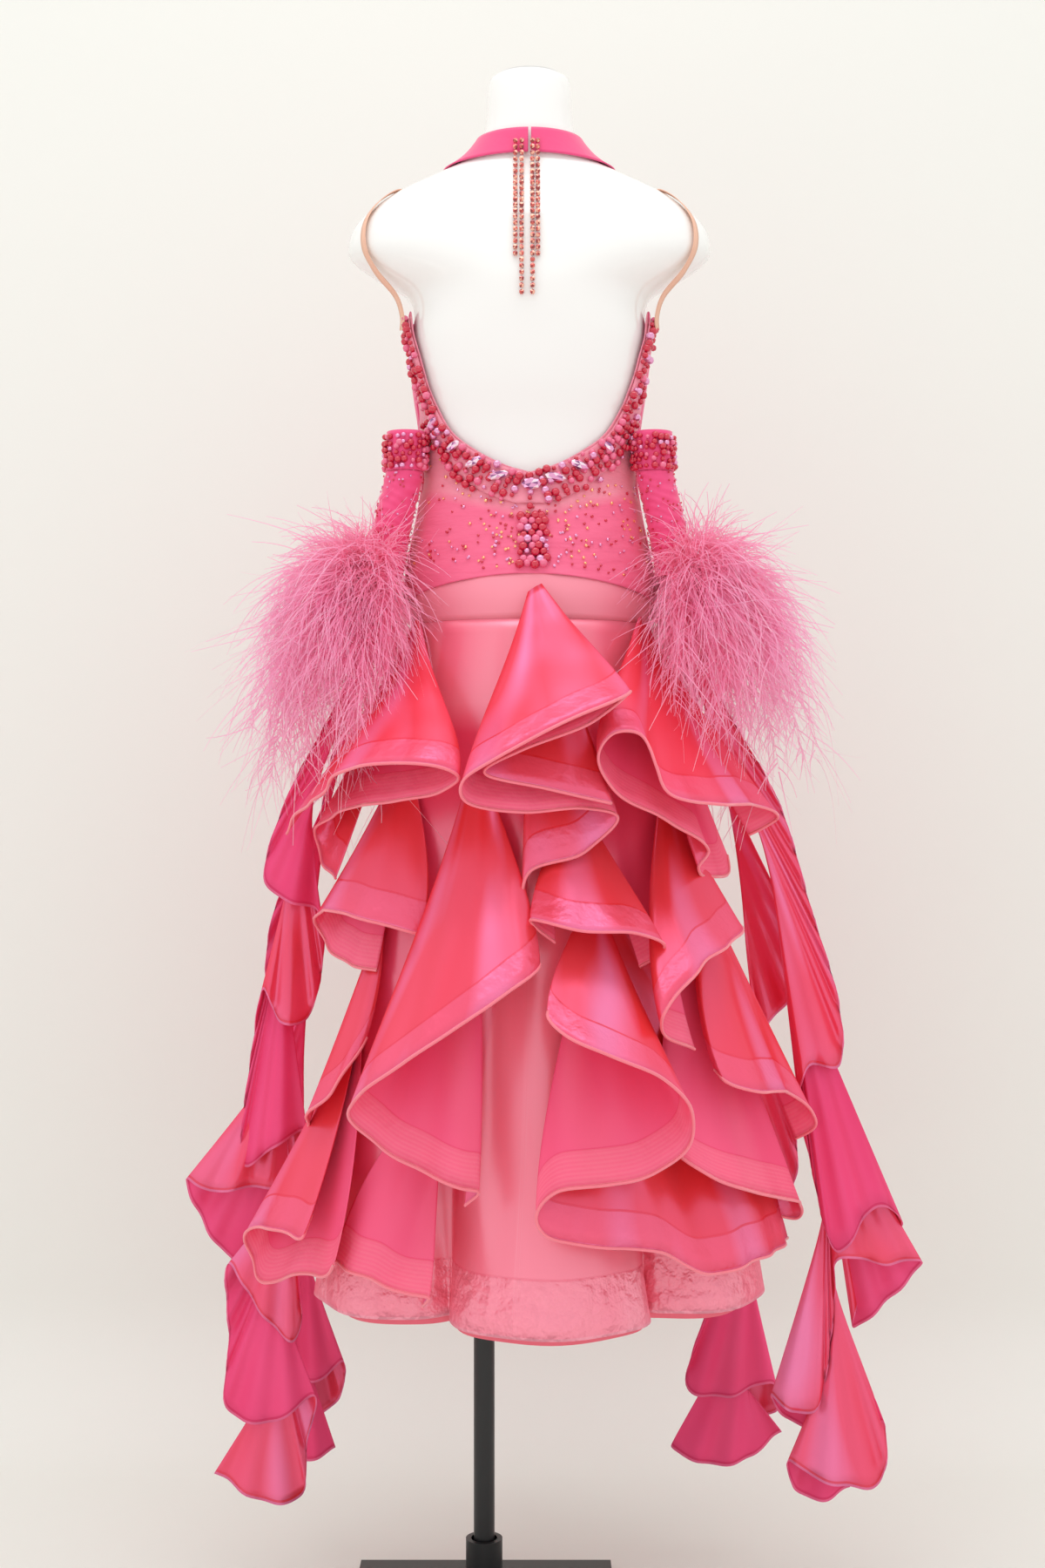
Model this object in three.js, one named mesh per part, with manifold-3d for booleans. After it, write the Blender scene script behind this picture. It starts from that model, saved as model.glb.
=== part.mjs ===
// A ballroom dance gown on a limbless dress form, with its two feathered armlets.
// Units are millimetres, +Z is up. The back of the gown faces -Y, its front +Y.
// The origin is on the floor, under the middle of the stand's pole.
//
// Most cloth is placed by three numbers: a turn round the gown in degrees (0 at the
// centre back, positive towards +X), a height, and a lift off the gown's own surface.

import * as THREE from 'three';
import { mergeVertices } from 'three/addons/utils/BufferGeometryUtils.js';
import Module from 'manifold-3d';

const wasm = await Module();
wasm.setup();

const DEG = Math.PI / 180;
const model = new THREE.Group();

// ---------------------------------------------------------------- driving sizes

const CLOTH = 1.6;            // wall of organza, mesh and lycra
const SATIN = 1.2;            // wall of flounces and floats
const SEAM = 0.3;             // gap between pieces that are sewn together
const EASE = 4;               // from the form to the middle of the worn cloth
const AXIS_X = 52;            // the gown's upright axis, beside the pole

const POLE = { radius: 12, sides: 20 };
const SLEEVE = { outer: 21, inner: 15, top: 80, sides: 24 };
const PLATE = { side: 300, thick: 12, behind: 112 };   // the pole stands nearer its back edge
const FORM_BOTTOM = 1060;
const YOKE_BOTTOM = 1125;
const YOKE_TOP = 1152;

// Half sizes of the dress form: to its side, its front and its back.
const FORM = [
  { z: 1060, side: 118, front: 80, back: 98 },
  { z: 1075, side: 127, front: 88, back: 110 },
  { z: 1125, side: 132, front: 94, back: 118 },
  { z: 1155, side: 138, front: 94, back: 117 },
  { z: 1195, side: 135, front: 90, back: 105 },
  { z: 1255, side: 123, front: 85, back: 87 },
  { z: 1295, side: 118, front: 83, back: 80 },
  { z: 1345, side: 121, front: 90, back: 84 },
  { z: 1395, side: 128, front: 106, back: 94 },
  { z: 1445, side: 134, front: 118, back: 101 },
  { z: 1500, side: 138, front: 108, back: 106 },
  { z: 1528, side: 182, front: 100, back: 102 },
  { z: 1545, side: 204, front: 94, back: 98 },
  { z: 1560, side: 208, front: 88, back: 94 },
  { z: 1583, side: 200, front: 78, back: 86 },
  { z: 1605, side: 178, front: 66, back: 76 },
  { z: 1625, side: 146, front: 58, back: 67 },
  { z: 1640, side: 112, front: 54, back: 61 },
  { z: 1652, side: 86, front: 52, back: 57 },
  { z: 1668, side: 66, front: 51, back: 54 },
  { z: 1690, side: 52, front: 50, back: 51 },
  { z: 1750, side: 46, front: 46, back: 46 },
  { z: 1757, side: 36, front: 36, back: 36 },
];

// Half sizes of the skirt's outer surface, over the crests of its folds.
const SKIRT = [
  { z: 340, side: 272, front: 275, back: 300 },
  { z: 480, side: 253, front: 240, back: 274 },
  { z: 620, side: 230, front: 208, back: 244 },
  { z: 760, side: 206, front: 176, back: 214 },
  { z: 880, side: 182, front: 148, back: 186 },
  { z: 1000, side: 158, front: 122, back: 155 },
  { z: 1080, side: 142, front: 104, back: 132 },
  { z: 1125, side: 136, front: 98, back: 122 },
];

// ---------------------------------------------------------------- colours

const COLOURS = {
  satin: [0xec4a5e, 0.36],
  mesh: [0xe2568a, 0.8],
  lycra: [0xef7a90, 0.6],
  organza: [0xf08692, 0.45],
  feather: [0xf29bc0, 0.9],
  pearl: [0xc81f4e, 0.25],
  stone: [0xe08a6a, 0.15],
  elastic: [0xf2c3a0, 0.7],
  form: [0xfaf8f2, 0.2],
  metal: [0x161616, 0.45],
};

function material(slot) {
  const [color, roughness] = COLOURS[slot];
  const metalness = slot === 'metal' ? 0.6 : 0;
  return new THREE.MeshStandardMaterial({ color, roughness, metalness });
}

function add(name, geometry, slot) {
  const mesh = new THREE.Mesh(geometry, material(slot));
  mesh.name = name;
  model.add(mesh);
  return mesh;
}

// ---------------------------------------------------------------- small helpers

const mix = (a, b, t) => a + (b - a) * t;
const range = (count) => Array.from({ length: count }, (_, index) => index);
const wave = (degrees) => Math.cos(degrees * DEG);

// A smooth curve through values at uneven places, one named column of a table.
function smooth(table, column, key, at) {
  const last = table.length - 1;
  if (at <= table[0][key]) return table[0][column];
  if (at >= table[last][key]) return table[last][column];
  let i = 0;
  while (table[i + 1][key] < at) i += 1;
  const [a, b] = [table[i], table[i + 1]];
  const before = table[Math.max(i - 1, 0)];
  const after = table[Math.min(i + 2, last)];
  const span = b[key] - a[key];
  const t = (at - a[key]) / span;
  const leave = (b[column] - before[column]) / (b[key] - before[key]) * span;
  const arrive = (after[column] - a[column]) / (after[key] - a[key]) * span;
  const [t2, t3] = [t * t, t * t * t];
  return a[column] * (2 * t3 - 3 * t2 + 1) + leave * (t3 - 2 * t2 + t)
    + b[column] * (3 * t2 - 2 * t3) + arrive * (t3 - t2);
}

// Distance from the axis to the form, or to the gown's outside, at a turn and height.
function reach(table, turn, z) {
  const half = wave(turn) > 0 ? 'back' : 'front';
  const across = Math.sin(turn * DEG) / smooth(table, 'side', 'z', z);
  const along = wave(turn) / smooth(table, half, 'z', z);
  return 1 / Math.hypot(across, along);
}
const formReach = (turn, z) => reach(FORM, turn, z);
const gownReach = (turn, z) => (z < YOKE_BOTTOM ? reach(SKIRT, turn, z) : formReach(turn, z) + EASE);

function around(turn, z, radius) {
  return new THREE.Vector3(AXIS_X + radius * Math.sin(turn * DEG), -radius * wave(turn), z);
}
const onForm = (turn, z, lift) => around(turn, z, formReach(turn, z) + lift);
const onGown = (turn, z, lift) => around(turn, z, gownReach(turn, z) + lift);

// ---------------------------------------------------------------- walls from grids

// Triangles that join two open chains of points, in step.
function zip(outer, inner, flipped, triangles) {
  let [i, j] = [0, 0];
  const [n, m] = [outer.length - 1, inner.length - 1];
  while (i < n || j < m) {
    const stepOuter = j >= m || (i < n && (i + 1) / n <= (j + 1) / m);
    const triangle = stepOuter
      ? [outer[i + 1], outer[i], inner[j]]
      : [inner[j], inner[j + 1], outer[i]];
    if (flipped) triangle.reverse();
    triangles.push(...triangle);
    if (stepOuter) i += 1; else j += 1;
  }
}

function toGeometry(points, triangles) {
  let volume = 0;
  for (let i = 0; i < triangles.length; i += 3) {
    const [a, b, c] = [0, 1, 2].map((k) => points[triangles[i + k]]);
    volume += a.dot(new THREE.Vector3().crossVectors(b, c));
  }
  const order = volume > 0 ? triangles : triangles.toReversed();
  const geometry = new THREE.BufferGeometry();
  geometry.setAttribute('position', new THREE.Float32BufferAttribute(points.flatMap((p) => p.toArray()), 3));
  geometry.setIndex(order);
  return geometry;
}

// A closed wall between an outer and an inner grid of points, given row by row. The
// grids have as many columns as each other, and the inner one may have fewer rows.
// A tube's last column joins its first.
function wall(outer, inner, tube) {
  const columns = outer[0].length;
  const points = [...outer.flat(), ...inner.flat()];
  const start = outer.length * columns;
  const triangles = [];
  const outerAt = (v, u) => v * columns + (u % columns);
  const innerAt = (v, u) => start + v * columns + (u % columns);
  const steps = tube ? columns : columns - 1;
  const quad = (a, b, c, d) => triangles.push(a, b, c, a, c, d);
  for (const u of range(steps)) {
    for (const v of range(outer.length - 1)) {
      quad(outerAt(v, u), outerAt(v + 1, u), outerAt(v + 1, u + 1), outerAt(v, u + 1));
    }
    for (const v of range(inner.length - 1)) {
      quad(innerAt(v, u), innerAt(v, u + 1), innerAt(v + 1, u + 1), innerAt(v + 1, u));
    }
    const [top, foot] = [outer.length - 1, inner.length - 1];
    quad(outerAt(0, u), outerAt(0, u + 1), innerAt(0, u + 1), innerAt(0, u));
    quad(outerAt(top, u), innerAt(foot, u), innerAt(foot, u + 1), outerAt(top, u + 1));
  }
  if (!tube) {
    for (const u of [0, columns - 1]) {
      const outerEnd = range(outer.length).map((v) => outerAt(v, u));
      const innerEnd = range(inner.length).map((v) => innerAt(v, u));
      zip(outerEnd, innerEnd, u > 0, triangles);
    }
  }
  return toGeometry(points, triangles);
}

// A wall of even thickness about a grid of points in its middle.
function middleWall(rows, thick, tube = false) {
  const last = rows[0].length - 1;
  const shifted = (side) => rows.map((row, v) => row.map((point, u) => {
    const left = tube ? row[(u + last) % (last + 1)] : row[Math.max(u - 1, 0)];
    const right = tube ? row[(u + 1) % (last + 1)] : row[Math.min(u + 1, last)];
    const above = rows[Math.max(v - 1, 0)][u];
    const below = rows[Math.min(v + 1, rows.length - 1)][u];
    const along = new THREE.Vector3().subVectors(right, left);
    const down = new THREE.Vector3().subVectors(below, above);
    const normal = down.cross(along).normalize();
    return point.clone().addScaledVector(normal, side * thick / 2);
  }));
  return wall(shifted(1), shifted(-1), tube);
}

// Closed solids joined into one.
function toSolid(geometry) {
  const plain = geometry.clone();
  plain.deleteAttribute('normal');
  plain.deleteAttribute('uv');
  const merged = mergeVertices(plain, 1e-4);
  return new wasm.Manifold(new wasm.Mesh({
    numProp: 3,
    vertProperties: new Float32Array(merged.attributes.position.array),
    triVerts: new Uint32Array(merged.index.array),
  }));
}

function joined(geometries) {
  const solids = geometries.map(toSolid);
  const whole = solids.reduce((sum, solid) => sum.add(solid));
  const mesh = whole.getMesh();
  const geometry = new THREE.BufferGeometry();
  geometry.setAttribute('position', new THREE.BufferAttribute(new Float32Array(mesh.vertProperties), 3));
  geometry.setIndex(new THREE.BufferAttribute(new Uint32Array(mesh.triVerts), 1));
  return geometry;
}

// ---------------------------------------------------------------- stand and form

function stand() {
  const plate = new THREE.BoxGeometry(PLATE.side, PLATE.side, PLATE.thick);
  const plateMesh = add('stand_plate', plate, 'metal');
  plateMesh.position.set(0, PLATE.behind - PLATE.side / 2, PLATE.thick / 2);

  const bottom = PLATE.thick + SEAM;
  const ring = [
    [SLEEVE.inner, bottom], [SLEEVE.outer, bottom], [SLEEVE.outer, SLEEVE.top],
    [SLEEVE.inner, SLEEVE.top], [SLEEVE.inner, bottom],
  ].map(([x, y]) => new THREE.Vector2(x, y));
  const sleeve = add('stand_sleeve', new THREE.LatheGeometry(ring, SLEEVE.sides), 'metal');
  sleeve.rotation.x = 90 * DEG;

  const length = FORM_BOTTOM - SEAM - bottom;
  const pole = new THREE.CylinderGeometry(POLE.radius, POLE.radius, length, POLE.sides);
  const poleMesh = add('stand_pole', pole, 'metal');
  poleMesh.rotation.x = 90 * DEG;
  poleMesh.position.z = bottom + length / 2;
}

function dressForm() {
  const sides = 24;
  const points = FORM.flatMap(({ z }) => range(sides).map((k) => onForm(k * 360 / sides, z, 0)));
  const triangles = [];
  for (const ring of range(FORM.length - 1)) {
    for (const k of range(sides)) {
      const next = (k + 1) % sides;
      const [a, b] = [ring * sides + k, ring * sides + next];
      triangles.push(a, b, b + sides, a, b + sides, a + sides);
    }
  }
  for (const [ring, z] of [[0, FORM[0].z], [FORM.length - 1, FORM[FORM.length - 1].z]]) {
    const centre = points.push(new THREE.Vector3(AXIS_X, 0, z)) - 1;
    for (const k of range(sides)) {
      const [a, b] = [ring * sides + k, ring * sides + (k + 1) % sides];
      triangles.push(...(ring === 0 ? [centre, b, a] : [centre, a, b]));
    }
  }
  add('dress_form', toGeometry(points, triangles), 'form');
}

// ---------------------------------------------------------------- bodice

// The open back's edge, from the centre back up each side to the underarm.
const NECKLINE = [
  { turn: 0, z: 1290 }, { turn: 20, z: 1300 }, { turn: 40, z: 1318 }, { turn: 54, z: 1340 },
  { turn: 62, z: 1370 }, { turn: 67, z: 1405 }, { turn: 72, z: 1445 }, { turn: 80, z: 1482 },
];
// The front's upper edge, from the underarm to the neck at the centre front.
const FRONT_EDGE = [
  { turn: 80, z: 1482 }, { turn: 100, z: 1478 }, { turn: 120, z: 1500 }, { turn: 136, z: 1538 },
  { turn: 150, z: 1600 }, { turn: 162, z: 1638 }, { turn: 180, z: 1640 },
];
const SIDE_SEAM = 80;
const COLLAR = { backLow: 1652, frontLow: 1644, high: 1681, slit: 1.6, lift: 5 };

const folded = (turn) => Math.abs(((turn + 180) % 360 + 360) % 360 - 180);
const necklineHeight = (turn) => smooth(NECKLINE, 'z', 'turn', folded(turn));
const frontHeight = (turn) => smooth(FRONT_EDGE, 'z', 'turn', folded(turn));

// The yoke's upper edge rises in an arc over the centre back.
function yokeTop(turn) {
  return folded(turn) < SIDE_SEAM ? YOKE_TOP + 26 * wave(folded(turn) * 90 / SIDE_SEAM) : YOKE_TOP;
}

function bodiceFront() {
  const columns = 20;
  const rows = 12;
  const grid = (lift) => range(rows).map((v) => range(columns + 1).map((u) => {
    const turn = mix(SIDE_SEAM + 0.2, 360 - SIDE_SEAM - 0.2, u / columns);
    const z = mix(YOKE_TOP + SEAM, frontHeight(turn), v / (rows - 1));
    return onForm(turn, z, lift + 3.4 * Math.min(1, Math.max(0, (z - 1480) / 36)));
  }));
  add('bodice_front', wall(grid(EASE + 3.2), grid(EASE + 3.2 - CLOTH), false), 'mesh');
}

// The lower back is gathered into the centre, so its ridges fan out from there.
function backPanel() {
  const columns = 16;
  const rows = 13;
  const grid = (lift, ridge, step) => range(rows).filter((v) => v % step === 0).map((v) => (
    range(columns + 1).map((u) => {
      const turn = mix(-SIDE_SEAM + 0.2, SIDE_SEAM - 0.2, u / columns);
      const z = mix(yokeTop(turn) + SEAM + 0.4, necklineHeight(turn), v / (rows - 1));
      const height = v % 2 && v < rows - 1 ? ridge : 0;
      return onForm(turn, z, lift + height);
    })
  ));
  const outer = grid(EASE + CLOTH / 2 + 0.9, 1.4, 1);
  const inner = grid(EASE - CLOTH / 2 + 0.9, 0, 2);
  add('back_panel', wall(outer, inner, false), 'mesh');
}

function yoke() {
  const columns = 36;
  const rows = 3;
  const grid = (lift) => range(rows).map((v) => range(columns).map((u) => {
    const turn = u * 360 / columns;
    return onForm(turn, mix(YOKE_BOTTOM + SEAM, yokeTop(turn), v / (rows - 1)), lift);
  }));
  add('hip_yoke', wall(grid(EASE + CLOTH / 2), grid(EASE - CLOTH / 2), true), 'lycra');
}

function collar() {
  const columns = 22;
  const rows = 3;
  const grid = (lift) => range(rows).map((v) => range(columns + 1).map((u) => {
    const turn = mix(COLLAR.slit, 360 - COLLAR.slit, u / columns);
    const low = mix(COLLAR.frontLow, COLLAR.backLow, (1 + wave(turn)) / 2);
    return onForm(turn, mix(low, COLLAR.high, v / (rows - 1)), lift);
  }));
  add('collar', wall(grid(COLLAR.lift + CLOTH / 2), grid(COLLAR.lift - CLOTH / 2), false), 'mesh');
}

// ---------------------------------------------------------------- beadwork

const PEARL = { under: EASE + 4.4, lift: EASE + 5.7, height: 4 };

// Beads are points raised on a strip: every second column and row of its grid.
const isBead = (v, u) => v % 2 === 1 && u % 2 === 1;

function beadBand() {
  const pitch = 10;
  const path = [];
  for (const turn of range(161).map((k) => k - 80)) path.push({ turn, z: necklineHeight(turn) - 2 });
  const place = ({ turn, z }, lift) => onForm(turn, z, lift);
  const lengths = [0];
  for (let i = 1; i < path.length; i += 1) {
    const step = place(path[i], 0).distanceTo(place(path[i - 1], 0));
    lengths.push(lengths[i - 1] + step);
  }
  const total = lengths[lengths.length - 1];
  const columns = 2 * Math.round(total / pitch / 2);
  const stations = range(columns + 1).map((u) => {
    const want = total * (0.015 + 0.97 * u / columns);
    const i = Math.max(1, lengths.findIndex((length) => length >= want));
    const t = (want - lengths[i - 1]) / (lengths[i] - lengths[i - 1]);
    const turn = mix(path[i - 1].turn, path[i].turn, t);
    const slope = (path[i].z - path[i - 1].z) / (DEG * formReach(turn, 1330));
    const length = Math.hypot(1, slope);
    const side = folded(turn) / SIDE_SEAM;
    return {
      turn, z: mix(path[i - 1].z, path[i].z, t), width: mix(36, 12, side * side),
      turnWay: slope / length, heightWay: -1 / length,
    };
  });
  const rows = 7;
  const grid = (lift, height, chosen) => chosen.map((v) => stations.map((s, u) => {
    const off = s.width * v / (rows - 1);
    const z = s.z + s.heightWay * off;
    const turn = s.turn + s.turnWay * off / formReach(s.turn, z) / DEG;
    return onForm(turn, z, lift + (isBead(v, u) ? height : 0));
  }));
  const outer = grid(PEARL.lift, PEARL.height, range(rows));
  const inner = grid(PEARL.under, 0, [0, rows - 1]);
  add('bead_band', wall(outer, inner, false), 'pearl');
}

function beadCluster() {
  const [columns, rows] = [6, 12];
  const grid = (lift, height, chosen) => chosen.map((v) => range(columns + 1).map((u) => {
    const turn = mix(-7, 11, u / columns);
    return onForm(turn, mix(1181, 1242, v / rows), lift + (isBead(v, u) ? height : 0));
  }));
  const outer = grid(PEARL.lift - 0.7, PEARL.height, range(rows + 1));
  const inner = grid(PEARL.under - 0.7, 0, [0, 4, 8, 12]);
  add('bead_cluster', wall(outer, inner, false), 'pearl');
}

// ---------------------------------------------------------------- straps and stone chains

// From the front's edge over the shoulder and down to the side of the open back.
const STRAP = [
  { turn: 128, z: 1508, lift: 13.5 }, { turn: 125, z: 1532, lift: 12.5 }, { turn: 120, z: 1560, lift: 5 },
  { turn: 112, z: 1592, lift: 4 }, { turn: 98, z: 1622, lift: 4 }, { turn: 88, z: 1624, lift: 4 },
  { turn: 82, z: 1606, lift: 4 }, { turn: 78, z: 1578, lift: 4 }, { turn: 76, z: 1548, lift: 4 },
  { turn: 76.5, z: 1524, lift: 12 },
  { turn: 78, z: 1496, lift: 20 }, { turn: 79, z: 1474, lift: 16 }, { turn: 80, z: 1460, lift: 15 },
];
const STRAP_WIDTH = 10;

function strap(name, side) {
  const points = STRAP.map(({ turn, z, lift }) => onForm(side * turn, z, lift));
  const curve = new THREE.CatmullRomCurve3(points, false, 'centripetal');
  const count = 20;
  const edges = [-0.5, 0.5].map((half) => range(count + 1).map((k) => {
    const point = curve.getPoint(k / count);
    const tangent = curve.getTangent(k / count);
    const outward = surfaceNormal(point);
    const across = new THREE.Vector3().crossVectors(tangent, outward).normalize();
    return point.addScaledVector(across, half * STRAP_WIDTH);
  }));
  add(name, middleWall(edges, 1.2), 'elastic');
}

// The form's outward direction beside a point.
function surfaceNormal(point) {
  const turn = Math.atan2(point.x - AXIS_X, -point.y) / DEG;
  const z = Math.min(Math.max(point.z, 1450), 1750);
  const across = onForm(turn + 1, z, 0).sub(onForm(turn - 1, z, 0));
  const up = onForm(turn, z + 2, 0).sub(onForm(turn, z - 2, 0));
  return across.cross(up).normalize();
}

// A tube with three or more sides along points, each with its own radius.
function rod(points, radii, sides) {
  let first = new THREE.Vector3(0, 1, 0);
  const spokes = points.map((point, i) => {
    const before = points[Math.max(i - 1, 0)];
    const after = points[Math.min(i + 1, points.length - 1)];
    const tangent = new THREE.Vector3().subVectors(after, before).normalize();
    if (i === 0 && Math.abs(tangent.y) > 0.8) first.set(1, 0, 0);
    first = first.clone().addScaledVector(tangent, -first.dot(tangent)).normalize();
    const second = new THREE.Vector3().crossVectors(tangent, first);
    return range(sides).map((k) => point.clone()
      .addScaledVector(first, radii[i] * wave(k * 360 / sides))
      .addScaledVector(second, radii[i] * Math.sin(k * 360 / sides * DEG)));
  });
  const triangles = [];
  for (const i of range(points.length - 1)) {
    for (const k of range(sides)) {
      const [a, b] = [i * sides + k, i * sides + (k + 1) % sides];
      triangles.push(a, b, b + sides, a, b + sides, a + sides);
    }
  }
  const foot = (points.length - 1) * sides;
  for (const k of range(sides - 2)) {
    triangles.push(0, k + 2, k + 1);
    triangles.push(foot, foot + k + 1, foot + k + 2);
  }
  return toGeometry(spokes.flat(), triangles);
}

const CHAINS = [
  { x: 36, foot: 1520 }, { x: 43, foot: 1477 }, { x: 55, foot: 1477 }, { x: 61, foot: 1520 },
];
const STONE = { pitch: 12, radius: 2.6, link: 1 };
const CHAIN_TOP = 1664;

// Four strings of stones hang from one short strip on the collar, down the bare back.
function stoneChains() {
  const strip = new THREE.BoxGeometry(32, 2.4, 4);
  const collarFace = -onForm(0, CHAIN_TOP, COLLAR.lift + CLOTH / 2).y;
  strip.translate(48.5, -(collarFace + 1.8), CHAIN_TOP);
  const chains = CHAINS.map(({ x, foot }) => {
    const count = 2 * Math.round((CHAIN_TOP - foot) / STONE.pitch);
    const points = range(count + 1).map((k) => {
      const z = mix(CHAIN_TOP, foot, k / count);
      const turn = Math.atan2(x - AXIS_X, formReach(0, z)) / DEG;
      const clear = mix(COLLAR.lift + 4.4, STONE.radius + 0.8, Math.max(0, Math.min((k - 3) / 6, 1)));
      return new THREE.Vector3(x, onForm(turn, z, clear).y, z);
    });
    const radii = points.map((_, k) => (k % 2 ? STONE.radius : STONE.link));
    return rod(points, radii, 3);
  });
  add('stone_chains', joined([strip, ...chains]), 'stone');
}

// ---------------------------------------------------------------- skirts

// The skirt hangs in deep rounded folds that start below the hips. Towards the hem each
// fold is wider than its neck, so its sides tuck under.
const FOLDS = { count: 7, phase: 4, start: 1010, hem: 345, depth: 46, tuck: 6, shift: 8 };
const SKIRT_HEM = 384;
const UNDER_HEM = 356;

const foldDrop = (z) => Math.max(0, (FOLDS.start - z) / (FOLDS.start - FOLDS.hem));
const foldTuck = (turn, z) => (
  FOLDS.tuck * foldDrop(z) ** 2 * Math.sin(FOLDS.count * (turn - FOLDS.phase) * DEG)
);
const foldInward = (turn, z) => (
  FOLDS.depth * foldDrop(z) ** 1.3 * (1 - wave(FOLDS.count * (turn - FOLDS.phase))) / 2
);

function skirtPoint(turn, z, lift) {
  const place = turn + foldTuck(turn, z);
  const point = around(place, z, gownReach(place, z) + lift - foldInward(turn, z));
  point.x += FOLDS.shift * foldDrop(z);
  return point;
}

function skirt(name, { top, hem, topLift, lift, columns, rows, slot }) {
  const grid = range(rows).map((v) => range(columns).map((u) => {
    const z = mix(top, hem, v / (rows - 1));
    const eased = mix(topLift, lift, Math.min(1, (top - z) / 90));
    return skirtPoint(u * 360 / columns, z, eased);
  }));
  return add(name, middleWall(grid, CLOTH, true), slot);
}

// The lift of the outer skirt's faceted surface at a turn and height, found by a ray.
let outerSkirt = null;
function skirtSeat(turn, height) {
  const z = Math.min(Math.max(height, SKIRT_HEM + 8), YOKE_BOTTOM - 2);
  const centre = new THREE.Vector3(AXIS_X, 0, z);
  const far = around(turn, z, 600);
  const ray = new THREE.Raycaster(far, centre.clone().sub(far).normalize());
  const [hit] = ray.intersectObject(outerSkirt);
  return 600 - hit.distance - gownReach(turn, z);
}

function skirts() {
  outerSkirt = skirt('skirt_outer', {
    top: YOKE_BOTTOM - SEAM, hem: SKIRT_HEM, topLift: -CLOTH / 2, lift: -CLOTH / 2,
    columns: 42, rows: 6, slot: 'organza',
  });
  skirt('skirt_under', {
    top: YOKE_BOTTOM - 3, hem: UNDER_HEM, topLift: -CLOTH * 1.5 - SEAM - 0.3, lift: -CLOTH - 16,
    columns: 35, rows: 4, slot: 'organza',
  });
}

// ---------------------------------------------------------------- flounces

// A table from its column names and its rows.
function table(names, rows) {
  const keys = names.split(' ');
  return rows.map((row) => Object.fromEntries(row.map((value, i) => [keys[i], value])));
}

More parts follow.
